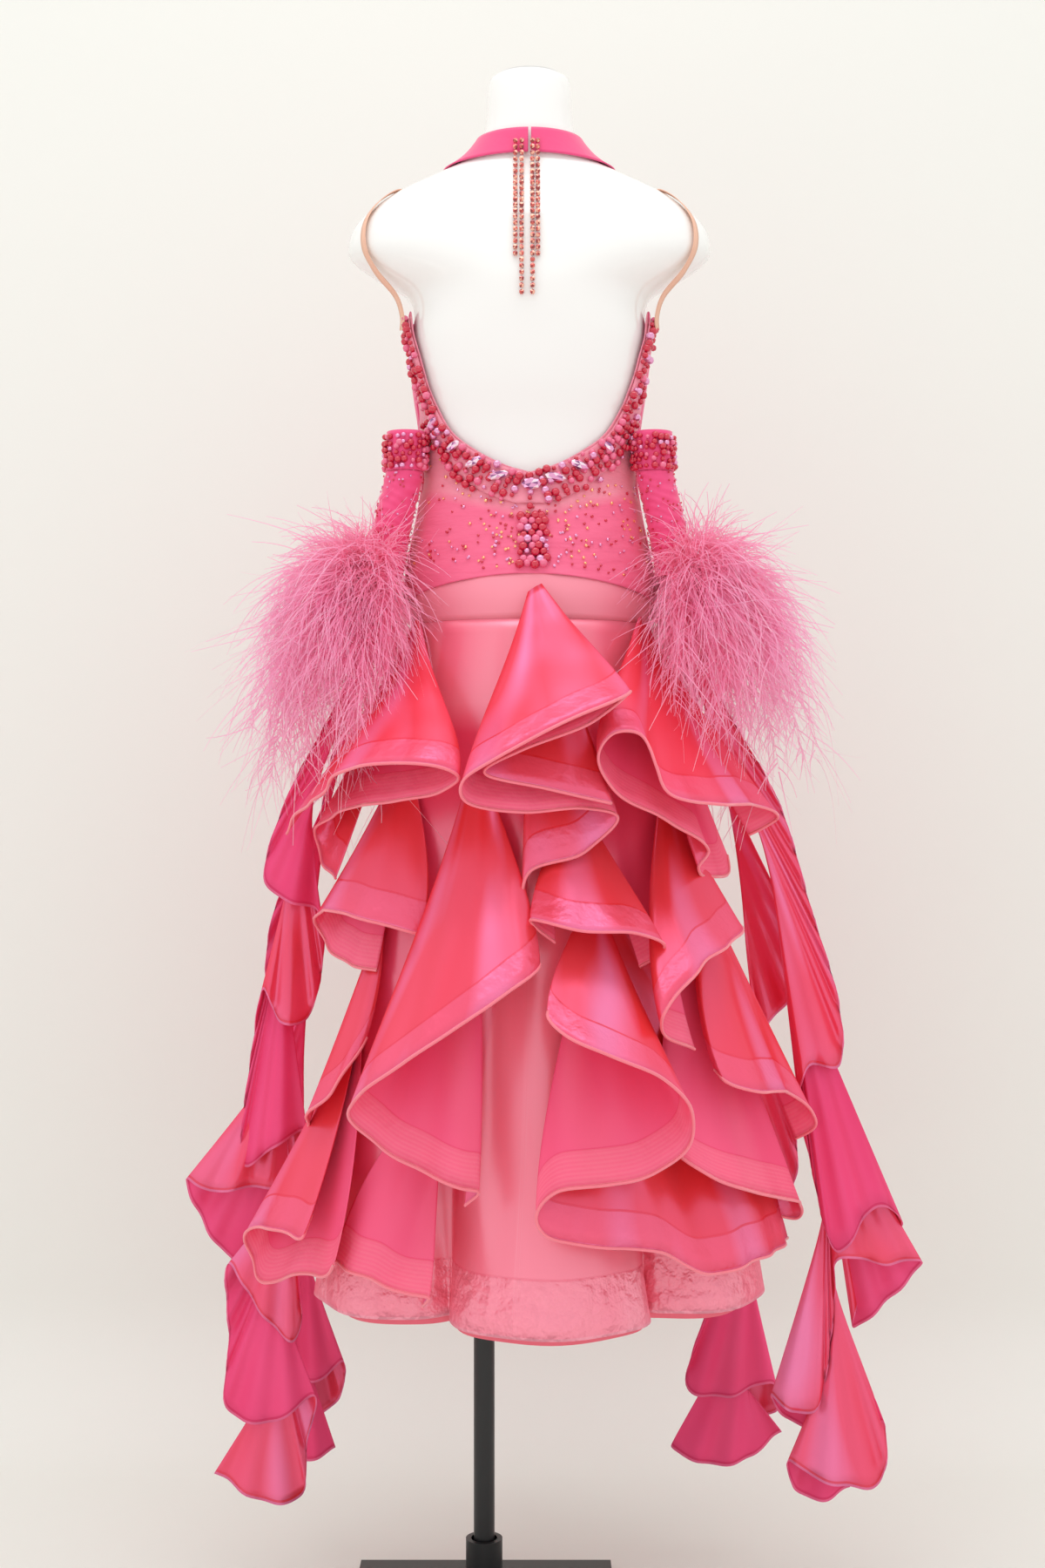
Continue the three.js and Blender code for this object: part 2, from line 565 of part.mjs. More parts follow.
// Each flounce is a curved strip of satin that hangs like part of a cone. 'top' is the
// cone's point, and the long hem swings to and fro from its right end to its left.
const FLOUNCES = {
  back_centre: {
    top: { turn: 2, z: 1150 },
    hem: table('turn z lift', [
      [19, 925, 82], [4, 940, 90], [-10, 957, 104], [-2, 979, 114], [14, 1009, 115], [23, 1040, 117],
      [21, 1036, 131], [7, 1008, 138], [-7, 970, 130], [-14, 948, 114], [-14, 926, 92], [-2, 916, 76],
      [13, 920, 66], [23, 910, 54], [14, 874, 44], [0, 855, 46], [-2, 830, 36], [-1, 802, 20],
    ]),
  },
  left_high: {
    top: { turn: -72, z: 1146 },
    hem: table('turn z lift', [
      [-66, 841, 44], [-78, 860, 52], [-79, 885, 66], [-60, 915, 62], [-33, 928, 76], [-21, 937, 86],
      [-16, 951, 98], [-20, 963, 116], [-32, 966, 124], [-46, 956, 114], [-57, 932, 98], [-72, 910, 96],
      [-78, 889, 100],
    ]),
  },
  right_high: {
    top: { turn: 70, z: 1146 },
    hem: table('turn z lift', [
      [76, 888, 70], [76, 907, 110], [67, 921, 98], [43, 924, 110], [30, 934, 118], [27, 963, 118],
      [25, 996, 114], [19, 997, 106], [16, 974, 94], [20, 938, 82], [31, 913, 78], [43, 889, 73],
      [51, 872, 63], [48, 857, 52], [52, 848, 43], [64, 843, 38], [78, 846, 38], [80, 865, 42],
    ]),
  },
  left_second: {
    top: { turn: -56, z: 985 },
    hem: table('turn z lift', [
      [-30, 786, 18], [-37, 795, 42], [-51, 807, 60], [-64, 806, 56], [-75, 784, 44],
      [-70, 763, 30], [-57, 749, 22], [-47, 745, 14],
    ]),
  },
  centre_second: {
    top: { turn: -22, z: 985 },
    hem: table('turn z lift', [
      [-10, 783, 26], [-2, 769, 44], [2, 762, 66], [-4, 738, 90], [-14, 699, 106], [-25, 654, 112],
      [-32, 624, 100], [-34, 605, 84], [-30, 582, 70], [-21, 558, 60], [-13, 541, 52], [-10, 535, 40],
      [-13, 520, 28],
    ]),
  },
  middle_second: {
    top: { turn: 16, z: 935 },
    hem: table('turn z lift', [
      [28, 754, 30], [31, 764, 44], [31, 778, 60], [22, 793, 76], [11, 796, 82], [3, 805, 72],
      [0, 806, 60], [2, 795, 48], [6, 782, 36],
    ]),
  },
  right_second: {
    top: { turn: 60, z: 955 },
    hem: table('turn z lift', [
      [62, 802, 40], [61, 792, 60], [39, 761, 80], [31, 736, 86], [26, 708, 80], [29, 686, 62],
      [39, 668, 46],
    ]),
  },
  right_third: {
    top: { turn: 22, z: 840 },
    hem: table('turn z lift', [
      [76, 440, 36], [52, 444, 42], [35, 444, 42], [25, 472, 40], [13, 483, 46], [3, 496, 50],
      [1, 517, 56], [5, 542, 64], [14, 547, 70], [23, 558, 76], [29, 584, 84], [29, 610, 96],
      [23, 650, 112], [13, 678, 120], [6, 697, 112], [3, 715, 96], [5, 728, 74],
    ]),
  },
  right_inside: {
    top: { turn: 66, z: 810 },
    hem: table('turn z lift', [
      [31, 581, 34], [31, 564, 48], [39, 536, 58], [51, 514, 58], [72, 481, 61], [76, 462, 47],
      [75, 465, 32],
    ]),
  },
  right_side: {
    top: { turn: 76, z: 895 },
    hem: table('turn z lift', [
      [78, 549, 60], [75, 570, 91], [69, 605, 74], [48, 624, 78], [42, 637, 66], [43, 646, 50],
    ]),
  },
  left_strip: {
    top: { turn: -54, z: 810 },
    hem: table('turn z lift', [
      [-45, 676, 18], [-45, 658, 32], [-48, 620, 46], [-57, 589, 46], [-62, 574, 32],
    ]),
  },
  left_third: {
    top: { turn: -58, z: 710 },
    hem: table('turn z lift', [
      [-51, 490, 40], [-48, 471, 56], [-56, 472, 62], [-66, 464, 72], [-70, 443, 70], [-70, 423, 60],
      [-66, 405, 50], [-55, 424, 32], [-44, 433, 34], [-41, 448, 42],
    ]),
  },
  left_low: {
    top: { turn: -34, z: 612 },
    hem: table('turn z lift', [
      [-47, 444, 16], [-40, 440, 22], [-31, 437, 30], [-23, 431, 36], [-19, 430, 34], [-21, 417, 20],
    ]),
  },
};

// The front's flounces are cut like the back's: turned round, raised, some mirrored.
const FRONT_FLOUNCES = {
  front_centre: { like: 'back_centre', turn: 180, rise: 0, mirror: false },
  front_left_high: { like: 'left_strip', turn: -88, rise: 260, mirror: false },
  front_right_high: { like: 'left_strip', turn: 88, rise: 260, mirror: true },
  front_centre_second: { like: 'centre_second', turn: 180, rise: 0, mirror: false },
  front_middle_second: { like: 'middle_second', turn: 180, rise: 0, mirror: false },
  front_left_second: { like: 'left_strip', turn: -88, rise: 70, mirror: false },
  front_right_second: { like: 'left_strip', turn: 85, rise: 20, mirror: true },
  front_left_third: { like: 'left_third', turn: -95, rise: 50, mirror: false },
  front_right_low: { like: 'left_low', turn: 180, rise: -30, mirror: false },
};

// The strip is a cone below a point on the top edge's middle, cut off near that point, so
// that all its folds keep apart up to the seam. Rows are shares of the way to the hem.
const FLOUNCE_ROWS = [0.24, 0.58, 1];

// A smooth curve through the rows of a table, as rows again.
function through(rows, keys, samples) {
  const points = rows.map((row) => new THREE.Vector3(...keys.map((key) => row[key])));
  const curve = new THREE.CatmullRomCurve3(points, false, 'centripetal');
  const steps = (rows.length - 1) * samples;
  return range(steps + 1).map((k) => {
    const point = curve.getPoint(k / steps).toArray();
    return Object.fromEntries(keys.map((key, i) => [key, point[i]]));
  });
}

function flounce(name, { top, hem }, samples) {
  const stretched = hem.map((row) => ({ ...row, turn: row.turn * 4 }));
  const curve = through(stretched, ['turn', 'z', 'lift'], samples);
  const [first] = FLOUNCE_ROWS;
  const ease = (v) => v ** 1.2;
  const sunk = Math.min(...curve.map((row) => row.lift)) * ease(first);
  const rows = FLOUNCE_ROWS.map((v) => curve.map((row) => {
    const turn = mix(top.turn, row.turn / 4, v);
    const z = mix(top.z, row.z, v);
    const seat = skirtSeat(turn, z) + SATIN / 2 + SEAM + 0.15 - sunk;
    return onGown(turn, z, seat * (1 - v) / (1 - first) + row.lift * ease(v));
  }));
  add(`flounce_${name}`, middleWall(rows, SATIN), 'satin');
}

function flounces() {
  for (const [name, shape] of Object.entries(FLOUNCES)) flounce(name, shape, 2);
  for (const [name, { like, turn, rise, mirror }] of Object.entries(FRONT_FLOUNCES)) {
    const side = mirror ? -1 : 1;
    const moved = (row) => ({ ...row, turn: side * row.turn + turn, z: row.z + rise });
    const shape = FLOUNCES[like];
    flounce(name, { top: moved(shape.top), hem: shape.hem.map(moved) }, 1);
  }
}

// ---------------------------------------------------------------- armlets

// The armlets hang beside the bodice. Each has a beaded cuff, a gathered sleeve, a band
// of feathers and two long floats. This is the left one's middle line; the right mirrors it.
const ARMLET = table('z x', [[1165, -115], [1178, -112.5], [1242, -101], [1296, -88.9], [1341, -86.9]]);
const ARMLET_OUT = 44;
const CUFF = { top: 1341, bottom: 1296, radius: 20.5, wall: 1.4, bead: 2.2 };
const GATHER = { radius: 19.5, wall: 1.4, ridge: 1.6 };
const BAND = { top: 1177.7, bottom: 1165, inner: 20.5, outer: 25 };

const mirrored = (side, x) => (side < 0 ? x : 2 * AXIS_X - x);
const armX = (side, z) => mirrored(side, smooth(ARMLET, 'x', 'z', z));

function armPoint(side, angle, z, radius) {
  return new THREE.Vector3(
    armX(side, z) + radius * Math.sin(angle * DEG),
    -ARMLET_OUT - radius * wave(angle),
    z,
  );
}

function cuff(name, side) {
  const [columns, rows] = [20, 7];
  const grid = (radius, height, chosen) => chosen.map((v) => range(columns).map((u) => {
    const z = mix(CUFF.bottom + SEAM, CUFF.top, v / (rows - 1));
    return armPoint(side, u * 360 / columns, z, radius + (isBead(v, u) ? height : 0));
  }));
  const outer = grid(CUFF.radius + CUFF.wall, CUFF.bead, range(rows));
  const inner = grid(CUFF.radius, 0, [0, rows - 1]);
  add(name, wall(outer, inner, true), 'pearl');
}

function sleeve(name, side) {
  const [columns, rows] = [12, 7];
  const grid = (radius, height) => range(rows).map((v) => range(columns).map((u) => {
    const z = mix(BAND.top + SEAM, CUFF.bottom - SEAM, v / (rows - 1));
    return armPoint(side, u * 360 / columns, z, radius + (v % 2 ? height : 0));
  }));
  const outer = grid(GATHER.radius + GATHER.wall, GATHER.ridge);
  const inner = grid(GATHER.radius, GATHER.ridge * 0.7);
  add(name, wall(outer, inner, true), 'mesh');
}

// Feather strands spring from the band, away from the body, and droop with their weight.
const PLUMES = { rings: 6, each: 6, spread: 72, high: 62, low: -34, length: 245, root: 2.4, tip: 1.1 };

function plume(side, azimuth, rise, length) {
  const out = Math.cos(rise * DEG);
  const direction = new THREE.Vector3(
    side * out * wave(azimuth), -out * Math.sin(azimuth * DEG), Math.sin(rise * DEG),
  );
  const z = mix(BAND.bottom + 3, BAND.top - 3, (rise - PLUMES.low) / (PLUMES.high - PLUMES.low));
  const middle = (BAND.inner + BAND.outer) / 2;
  const root = armPoint(side, side * (90 - azimuth), z, middle);
  const points = [0, 0.5, 1].map((t) => root.clone()
    .addScaledVector(direction, length * t * (1 - 0.35 * t))
    .add(new THREE.Vector3(0, 0, -0.75 * length * t * t)));
  return rod(points, [PLUMES.root * 0.8, PLUMES.root, PLUMES.tip], 3);
}

function feathers(name, side) {
  const ring = [
    [BAND.inner, BAND.bottom], [BAND.outer, BAND.bottom], [BAND.outer, BAND.top],
    [BAND.inner, BAND.top], [BAND.inner, BAND.bottom],
  ].map(([x, y]) => new THREE.Vector2(x, y));
  const band = new THREE.LatheGeometry(ring, 14);
  band.rotateX(90 * DEG);
  band.translate(armX(side, 1171), -ARMLET_OUT, 0);
  const strands = [];
  for (const i of range(PLUMES.rings)) {
    for (const k of range(PLUMES.each)) {
      const across = (k + (i % 2) / 2) / (PLUMES.each - 0.5);
      const azimuth = mix(-PLUMES.spread, PLUMES.spread, across);
      const rise = mix(PLUMES.low, PLUMES.high, i / (PLUMES.rings - 1));
      const ragged = 0.86 + 0.14 * Math.sin(i * 5.1 + k * 2.7);
      const hushed = 1 - 0.3 * Math.max(0, Math.sin(azimuth * DEG)) * Math.max(0, wave(rise));
      strands.push(plume(side, azimuth, rise, PLUMES.length * ragged * hushed));
    }
  }
  add(name, joined([band, ...strands]), 'feather');
}

// ---------------------------------------------------------------- floats

// A float is a long flounce cut as a spiral. Its inner edge hangs down a line, and its
// hem zigzags beside it; 'from' is the height on the line where each hem row starts.
const FLOATS = {
  left_outer: {
    samples: 2,
    line: table('x z out', [
      [-112, 1164, 22], [-129, 1084, 25], [-208, 915, 30], [-223, 797, 30], [-223, 649, 30],
      [-223, 520, 30], [-231, 402, 28], [-238, 302, 25], [-243, 242, 22],
    ]),
    hem: table('x z out from', [
      [-124, 1164, 22, 1164], [-162, 1050, 20, 1140], [-226, 925, 24, 1100], [-247, 835, 40, 1043],
      [-217, 812, 58, 974], [-187, 802, 48, 940], [-181, 757, 30, 915], [-200, 679, 52, 886],
      [-227, 678, 60, 857], [-247, 714, 48, 837], [-262, 649, 30, 807], [-270, 515, 45, 788],
      [-233, 539, 66, 760], [-200, 555, 56, 730], [-208, 491, 30, 698], [-266, 490, 46, 680],
      [-307, 484, 40, 660], [-339, 495, 22, 638], [-323, 444, 4, 616], [-299, 410, 8, 586],
      [-223, 375, 26, 559], [-207, 351, 24, 539], [-215, 316, 40, 522], [-250, 350, 50, 505],
      [-289, 402, 38, 483], [-291, 310, 18, 449], [-289, 237, 38, 424], [-236, 228, 54, 398],
      [-190, 253, 38, 365], [-202, 191, 18, 330], [-206, 139, 34, 304], [-248, 138, 50, 289],
      [-304, 167, 36, 266],
    ]),
  },
  right_outer: {
    samples: 2,
    line: table('x z out', [
      [216, 1164, 22], [229, 1084, 25], [303, 915, 26], [341, 787, 26], [372, 649, 28],
      [386, 550, 30], [391, 422, 32], [397, 304, 32], [394, 224, 30],
    ]),
    hem: table('x z out from', [
      [228, 1164, 22, 1164], [266, 1050, 20, 1140], [336, 925, 18, 1090], [374, 800, 18, 1000],
      [404, 690, 30, 930], [400, 628, 50, 886], [365, 629, 64, 857], [355, 593, 50, 837],
      [368, 522, 40, 817], [395, 423, 76, 790], [439, 472, 62, 760], [474, 447, 34, 728],
      [445, 396, 6, 696], [424, 320, 0, 665], [458, 351, 12, 637], [497, 403, 28, 609],
      [453, 404, 48, 583], [399, 412, 56, 555], [396, 355, 40, 522], [372, 241, 52, 505],
      [346, 241, 58, 487], [325, 255, 44, 464], [346, 221, 20, 439], [431, 201, 16, 409],
      [453, 222, 28, 382], [447, 160, 50, 368], [407, 160, 66, 352], [370, 169, 62, 332],
      [344, 183, 44, 307], [354, 143, 26, 282], [381, 133, 32, 264], [417, 145, 22, 242],
    ]),
  },
  left_inner: {
    samples: 2,
    line: table('x z out', [
      [-128, 1164, 25], [-150, 1040, -30], [-188, 900, -90], [-213, 700, -116], [-222, 520, -128],
      [-221, 417, -132], [-216, 230, -136],
    ]),
    hem: table('x z out from', [
      [-134, 1164, 32, 1164], [-176, 1000, -58, 1090], [-214, 860, -104, 1010], [-250, 800, -84, 930],
      [-262, 690, -110, 840], [-232, 640, -136, 760], [-262, 560, -112, 690], [-270, 460, -132, 620],
      [-226, 400, -148, 560], [-240, 330, -122, 490], [-258, 250, -130, 450], [-220, 223, -126, 417],
      [-196, 227, -122, 398], [-173, 246, -130, 375], [-182, 190, -152, 339], [-227, 158, -152, 307],
      [-231, 124, -136, 289], [-207, 128, -126, 265], [-183, 140, -130, 241],
    ]),
  },
  right_inner: {
    samples: 1,
    line: table('x z out', [
      [232, 1164, 25], [254, 1040, -30], [292, 900, -90], [317, 700, -116], [322, 520, -128],
      [318, 417, -132], [312, 214, -136],
    ]),
    hem: table('x z out from', [
      [238, 1164, 32, 1164], [280, 1000, -58, 1090], [318, 860, -104, 1010], [354, 800, -84, 930],
      [366, 690, -110, 840], [336, 640, -136, 760], [366, 560, -112, 690], [374, 460, -132, 620],
      [330, 400, -148, 560], [268, 300, -134, 470], [244, 212, -130, 417], [291, 205, -120, 399],
      [346, 220, -128, 375], [353, 179, -148, 349], [247, 156, -156, 316], [225, 138, -142, 299],
      [275, 121, -124, 282], [319, 127, -132, 257], [333, 134, -144, 233], [359, 158, -138, 218],
    ]),
  },
};

const FLOAT = { rows: [0, 0.5, 1], width: 100, nearest: 0.3 };

function float(name, { samples, line, hem }) {
  const down = line.toReversed();
  const spine = (z) => new THREE.Vector3(smooth(down, 'x', 'z', z), -smooth(down, 'out', 'z', z), z);
  const curve = through(hem, ['x', 'z', 'out'], samples);
  const rows = FLOAT.rows.map((v) => curve.map((row, k) => {
    const i = Math.min(Math.floor(k / samples), hem.length - 2);
    const start = spine(mix(hem[i].from, hem[i + 1].from, k / samples - i));
    const end = new THREE.Vector3(row.x, -row.out, row.z);
    const inner = Math.max(FLOAT.nearest, 1 - FLOAT.width / start.distanceTo(end));
    return start.lerp(end, mix(inner, 1, v));
  }));
  add(`float_${name}`, middleWall(rows, SATIN), 'satin');
}

stand();
dressForm();
bodiceFront();
backPanel();
yoke();
collar();
beadBand();
beadCluster();
stoneChains();
skirts();
flounces();
for (const [name, side] of [['left', -1], ['right', 1]]) {
  strap(`strap_${name}`, side);
  cuff(`cuff_${name}`, side);
  sleeve(`sleeve_${name}`, side);
  feathers(`feathers_${name}`, side);
}
for (const [name, shape] of Object.entries(FLOATS)) float(name, shape);

export default model;
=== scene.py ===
"""A ballroom gown on a limbless form, seen from behind, with its feathered armlets.

Lengths are in millimetres until a mesh is made. Cloth is placed by a turn round the gown
(0 at the centre back, positive towards +X), a height and a lift off the gown's surface.
"""

import math

import bpy
import numpy as np
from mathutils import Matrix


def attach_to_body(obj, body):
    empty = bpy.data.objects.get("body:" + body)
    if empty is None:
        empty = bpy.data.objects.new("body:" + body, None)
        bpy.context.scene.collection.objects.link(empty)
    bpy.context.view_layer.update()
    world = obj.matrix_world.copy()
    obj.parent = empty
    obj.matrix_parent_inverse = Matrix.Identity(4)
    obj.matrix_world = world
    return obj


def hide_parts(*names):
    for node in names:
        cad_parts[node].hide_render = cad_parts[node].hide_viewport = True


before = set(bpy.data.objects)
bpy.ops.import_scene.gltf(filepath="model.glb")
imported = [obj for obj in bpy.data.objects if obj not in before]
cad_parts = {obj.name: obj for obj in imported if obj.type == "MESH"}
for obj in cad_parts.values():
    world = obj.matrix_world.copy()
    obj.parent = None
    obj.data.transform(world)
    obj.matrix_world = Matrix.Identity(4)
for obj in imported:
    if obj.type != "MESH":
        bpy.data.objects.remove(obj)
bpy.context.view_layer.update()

RNG = np.random.default_rng(7)
MM = 0.001

# ---------------- driving sizes

AXIS_X = 52.0
EASE = 4.0
GAP = 0.3
PLATE_TOP = 12.0
POLE_RADIUS = 12.0
SOCKET = {"outer": 21.0, "inner": 15.0, "top": 80.0}
YOKE_BOTTOM = 1125.0
YOKE_TOP = 1152.0
SIDE_SEAM = 80.0

# z, half size to the side, to the front and to the back
FORM = np.array([
    (1060, 118, 80, 98), (1075, 127, 88, 110), (1125, 132, 94, 118), (1155, 138, 94, 117),
    (1195, 135, 90, 105), (1255, 123, 85, 87), (1295, 118, 83, 80), (1345, 121, 90, 84),
    (1395, 128, 106, 94), (1445, 134, 118, 101), (1500, 138, 108, 106), (1528, 182, 100, 102),
    (1545, 204, 94, 98), (1560, 208, 88, 94), (1583, 200, 78, 86), (1605, 178, 66, 76),
    (1625, 146, 58, 67), (1640, 112, 54, 61), (1652, 86, 52, 57), (1668, 66, 51, 54),
    (1690, 52, 50, 51), (1750, 46, 46, 46), (1757, 36, 36, 36),
], float)
SKIRT = np.array([
    (340, 272, 275, 300), (480, 253, 240, 274), (620, 230, 208, 244), (760, 206, 176, 214),
    (880, 182, 148, 186), (1000, 158, 122, 155), (1080, 142, 104, 132), (1125, 136, 98, 122),
], float)
NECKLINE = np.array([
    (0, 1290), (20, 1300), (40, 1318), (54, 1340), (62, 1370), (67, 1405), (72, 1445), (80, 1482),
], float)
FRONT_EDGE = np.array([
    (80, 1482), (100, 1478), (120, 1500), (136, 1538), (150, 1600), (162, 1638), (180, 1640),
], float)
FOLDS = {"count": 6, "phase": 4, "start": 1010, "hem": 345, "depth": 84, "tuck": 10.5, "shift": 8}
SKIRT_HEM = 384.0
UNDER_HEM = 376.0


def cubic(t, a, leave, b, arrive):
    """Between two values, with the slopes at both."""
    return (a * (2 * t**3 - 3 * t**2 + 1) + leave * (t**3 - 2 * t**2 + t)
            + b * (3 * t**2 - 2 * t**3) + arrive * (t**3 - t**2))


def smooth(table, column, at):
    """A smooth curve through one column of a table, read at its first column."""
    x, y = table[:, 0], table[:, column]
    at = np.clip(np.asarray(at, float), x[0], x[-1])
    i = np.clip(np.searchsorted(x, at, side="right") - 1, 0, len(x) - 2)
    before, after = np.maximum(i - 1, 0), np.minimum(i + 2, len(x) - 1)
    span = x[i + 1] - x[i]
    t = (at - x[i]) / span
    leave = (y[i + 1] - y[before]) / (x[i + 1] - x[before]) * span
    arrive = (y[after] - y[i]) / (x[after] - x[i]) * span
    return cubic(t, y[i], leave, y[i + 1], arrive)


def reach(table, turn, z):
    """Distance from the axis to a surface, at a turn and height."""
    a = np.radians(turn)
    depth = np.where(np.cos(a) > 0, smooth(table, 3, z), smooth(table, 2, z))
    return 1 / np.hypot(np.sin(a) / smooth(table, 1, z), np.cos(a) / depth)


def form_reach(turn, z):
    return reach(FORM, turn, z)


def gown_reach(turn, z):
    return np.where(z < YOKE_BOTTOM, reach(SKIRT, turn, z), form_reach(turn, z) + EASE)


def around(turn, z, radius):
    a = np.radians(turn)
    turn, z, radius = np.broadcast_arrays(turn, z, radius)
    return np.stack([AXIS_X + radius * np.sin(a), -radius * np.cos(a), z], axis=-1)


def on_form(turn, z, lift):
    return around(turn, z, form_reach(turn, z) + lift)


def on_gown(turn, z, lift):
    return around(turn, z, gown_reach(turn, z) + lift)


def folded(turn):
    return np.abs((np.asarray(turn, float) + 180) % 360 - 180)


def mix(a, b, t):
    return a + (b - a) * t


def steps(count):
    """Even shares from 0 to 1, one for each row."""
    return np.linspace(0, 1, count)[:, None]


def unit(vectors):
    return vectors / np.maximum(np.linalg.norm(vectors, axis=-1, keepdims=True), 1e-9)


def distance_along(points):
    return np.concatenate([[0], np.cumsum(np.linalg.norm(np.diff(points, axis=0), axis=1))])


def through(rows, per_step, stretch=None):
    """A centripetal Catmull-Rom curve through rows of numbers, as more rows."""
    p = np.array(rows, float)
    if stretch is not None:
        p = p * stretch
    ends = np.vstack([2 * p[0] - p[1], p, 2 * p[-1] - p[-2]])
    spans = np.maximum(np.linalg.norm(np.diff(ends, axis=0), axis=1), 1e-6) ** 0.5
    out = []
    for i in range(1, len(ends) - 2):
        a, b, c, d = ends[i - 1:i + 3]
        u, v, w = spans[i - 1:i + 2]
        leave = ((b - a) / u - (c - a) / (u + v) + (c - b) / v) * v
        arrive = ((c - b) / v - (d - b) / (v + w) + (d - c) / w) * v
        for k in range(per_step):
            out.append(cubic(k / per_step, b, leave, c, arrive))
    out.append(p[-1])
    out = np.array(out)
    return out / stretch if stretch is not None else out


# ---------------- meshes

def link(name, data):
    obj = bpy.data.objects.new(name, data)
    bpy.context.scene.collection.objects.link(obj)
    return obj


def new_object(name, points, faces, materials, uv=None, smooth_faces=True):
    mesh = bpy.data.meshes.new(name)
    mesh.from_pydata((np.asarray(points) * MM).tolist(), [], faces)
    mesh.validate()
    for material in materials:
        mesh.materials.append(material)
    if uv is not None:
        layer = mesh.uv_layers.new(name="cloth")
        corners = np.empty(len(mesh.loops), np.int32)
        mesh.loops.foreach_get("vertex_index", corners)
        layer.data.foreach_set("uv", (np.asarray(uv)[corners] * MM).astype(np.float32).ravel())
    if smooth_faces:
        mesh.polygons.foreach_set("use_smooth", [True] * len(mesh.polygons))
    return link(name, mesh)


def attach(obj, node=None, body="figure"):
    """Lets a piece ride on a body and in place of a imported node."""
    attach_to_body(obj, body)
    if node:
        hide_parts(node)


def grid_faces(rows, columns, closed=False):
    faces = []
    for v in range(rows - 1):
        for u in range(columns if closed else columns - 1):
            w = (u + 1) % columns
            faces.append((v * columns + u, (v + 1) * columns + u, (v + 1) * columns + w, v * columns + w))
    return faces


def rod_faces(rows, sides):
    """A closed grid with both of its ends filled."""
    last = rows * sides
    return grid_faces(rows, sides, closed=True) + [tuple(range(sides)), tuple(range(last - sides, last))]


def cloth(name, grid, materials, thick=1.2, closed=False, node=None):
    """A sheet of cloth from rows of points; row 0 is its upper edge, the last its hem.

    Its UV is in metres: along the hem, and from the hem upwards.
    """
    rows, columns, _ = grid.shape
    along = np.zeros((rows, columns))
    along[:, 1:] = np.cumsum(np.linalg.norm(np.diff(grid[-1], axis=0), axis=1))[None, :]
    down = np.zeros((rows, columns))
    down[:-1] = np.cumsum(np.linalg.norm(np.diff(grid, axis=0), axis=2)[::-1], axis=0)[::-1]
    uv = np.stack([along, down], axis=-1).reshape(-1, 2)
    obj = new_object(name, grid.reshape(-1, 3), grid_faces(rows, columns, closed), materials, uv)
    solid = obj.modifiers.new("wall", "SOLIDIFY")
    solid.thickness = thick * MM
    solid.offset = 0
    solid.material_offset = 1 if len(materials) > 1 else 0
    attach(obj, node)


def cord_round(name, path, radius, material, sides=6):
    """A thin round cord along a path, such as a rolled edge."""
    tangent = unit(np.gradient(path, axis=0))
    spoke = np.cross(tangent[0], [0.0, 0.3, 1.0])
    rings = []
    for point, way in zip(path, tangent):
        spoke = unit(spoke - way * np.dot(spoke, way))
        other = np.cross(way, spoke)
        for k in range(sides):
            a = math.tau * k / sides
            rings.append(point + radius * (math.cos(a) * spoke + math.sin(a) * other))
    attach(new_object(name, rings, rod_faces(len(path), sides), [material]))


def ball_points(rings=4, sides=8):
    """A low ball of radius 1: its points and faces."""
    points = [(0, 0, 1)]
    for i in range(1, rings):
        a = math.pi * i / rings
        for k in range(sides):
            b = math.tau * (k + i % 2 / 2) / sides
            points.append((math.sin(a) * math.cos(b), math.sin(a) * math.sin(b), math.cos(a)))
    points.append((0, 0, -1))
    faces = [(0, 1 + k, 1 + (k + 1) % sides) for k in range(sides)]
    for i in range(rings - 2):
        a, b = 1 + i * sides, 1 + (i + 1) * sides
        for k in range(sides):
            m = (k + 1) % sides
            faces.append((a + k, b + k, b + m, a + m))
    a, last = 1 + (rings - 2) * sides, 1 + (rings - 1) * sides
    faces += [(a + k, last, a + (k + 1) % sides) for k in range(sides)]
    return np.array(points, float), faces


BALL = ball_points()
CUT_BALL = ball_points()
GEM = ball_points(3, 6)


def frames_at(normals, spin=None):
    """Two directions across each normal."""
    n = unit(normals)
    up = np.where(np.abs(n[:, 2:3]) < 0.9, [[0.0, 0.0, 1.0]], [[1.0, 0.0, 0.0]])
    a = unit(np.cross(up, n))
    b = np.cross(n, a)
    if spin is not None:
        c, s = np.cos(spin)[:, None], np.sin(spin)[:, None]
        a, b = a * c + b * s, b * c - a * s
    return a, b, n


def scatter(name, centres, normals, sizes_mm, materials, shape=BALL, kinds=None, spin=None, node=None):
    """Copies of a small shape, joined in one mesh: sizes are across, along and out.

    Each copy has the material of its kind. Without kinds, each face draws one of its own:
    with pale and dark copies of a stone, that is a painted glint or painted shade on each facet.
    """
    base, faces = shape
    count = len(centres)
    sizes_mm = np.broadcast_to(sizes_mm, (count, 3)).astype(float)
    points = np.asarray(centres)[:, None, :]
    for axis, way in enumerate(frames_at(np.asarray(normals, float), spin)):
        points = points + way[:, None, :] * (base[None, :, axis, None] * sizes_mm[:, None, axis, None])
    all_faces = [tuple(v + i * len(base) for v in face) for i in range(count) for face in faces]
    obj = new_object(name, points.reshape(-1, 3), all_faces, materials, smooth_faces=shape is BALL)
    if kinds is None:
        tones = RNG.integers(0, len(materials), len(all_faces))
    else:
        tones = np.repeat(kinds, len(faces))
    obj.data.polygons.foreach_set("material_index", tones.astype(np.int32))
    attach(obj, node)


# ---------------- materials

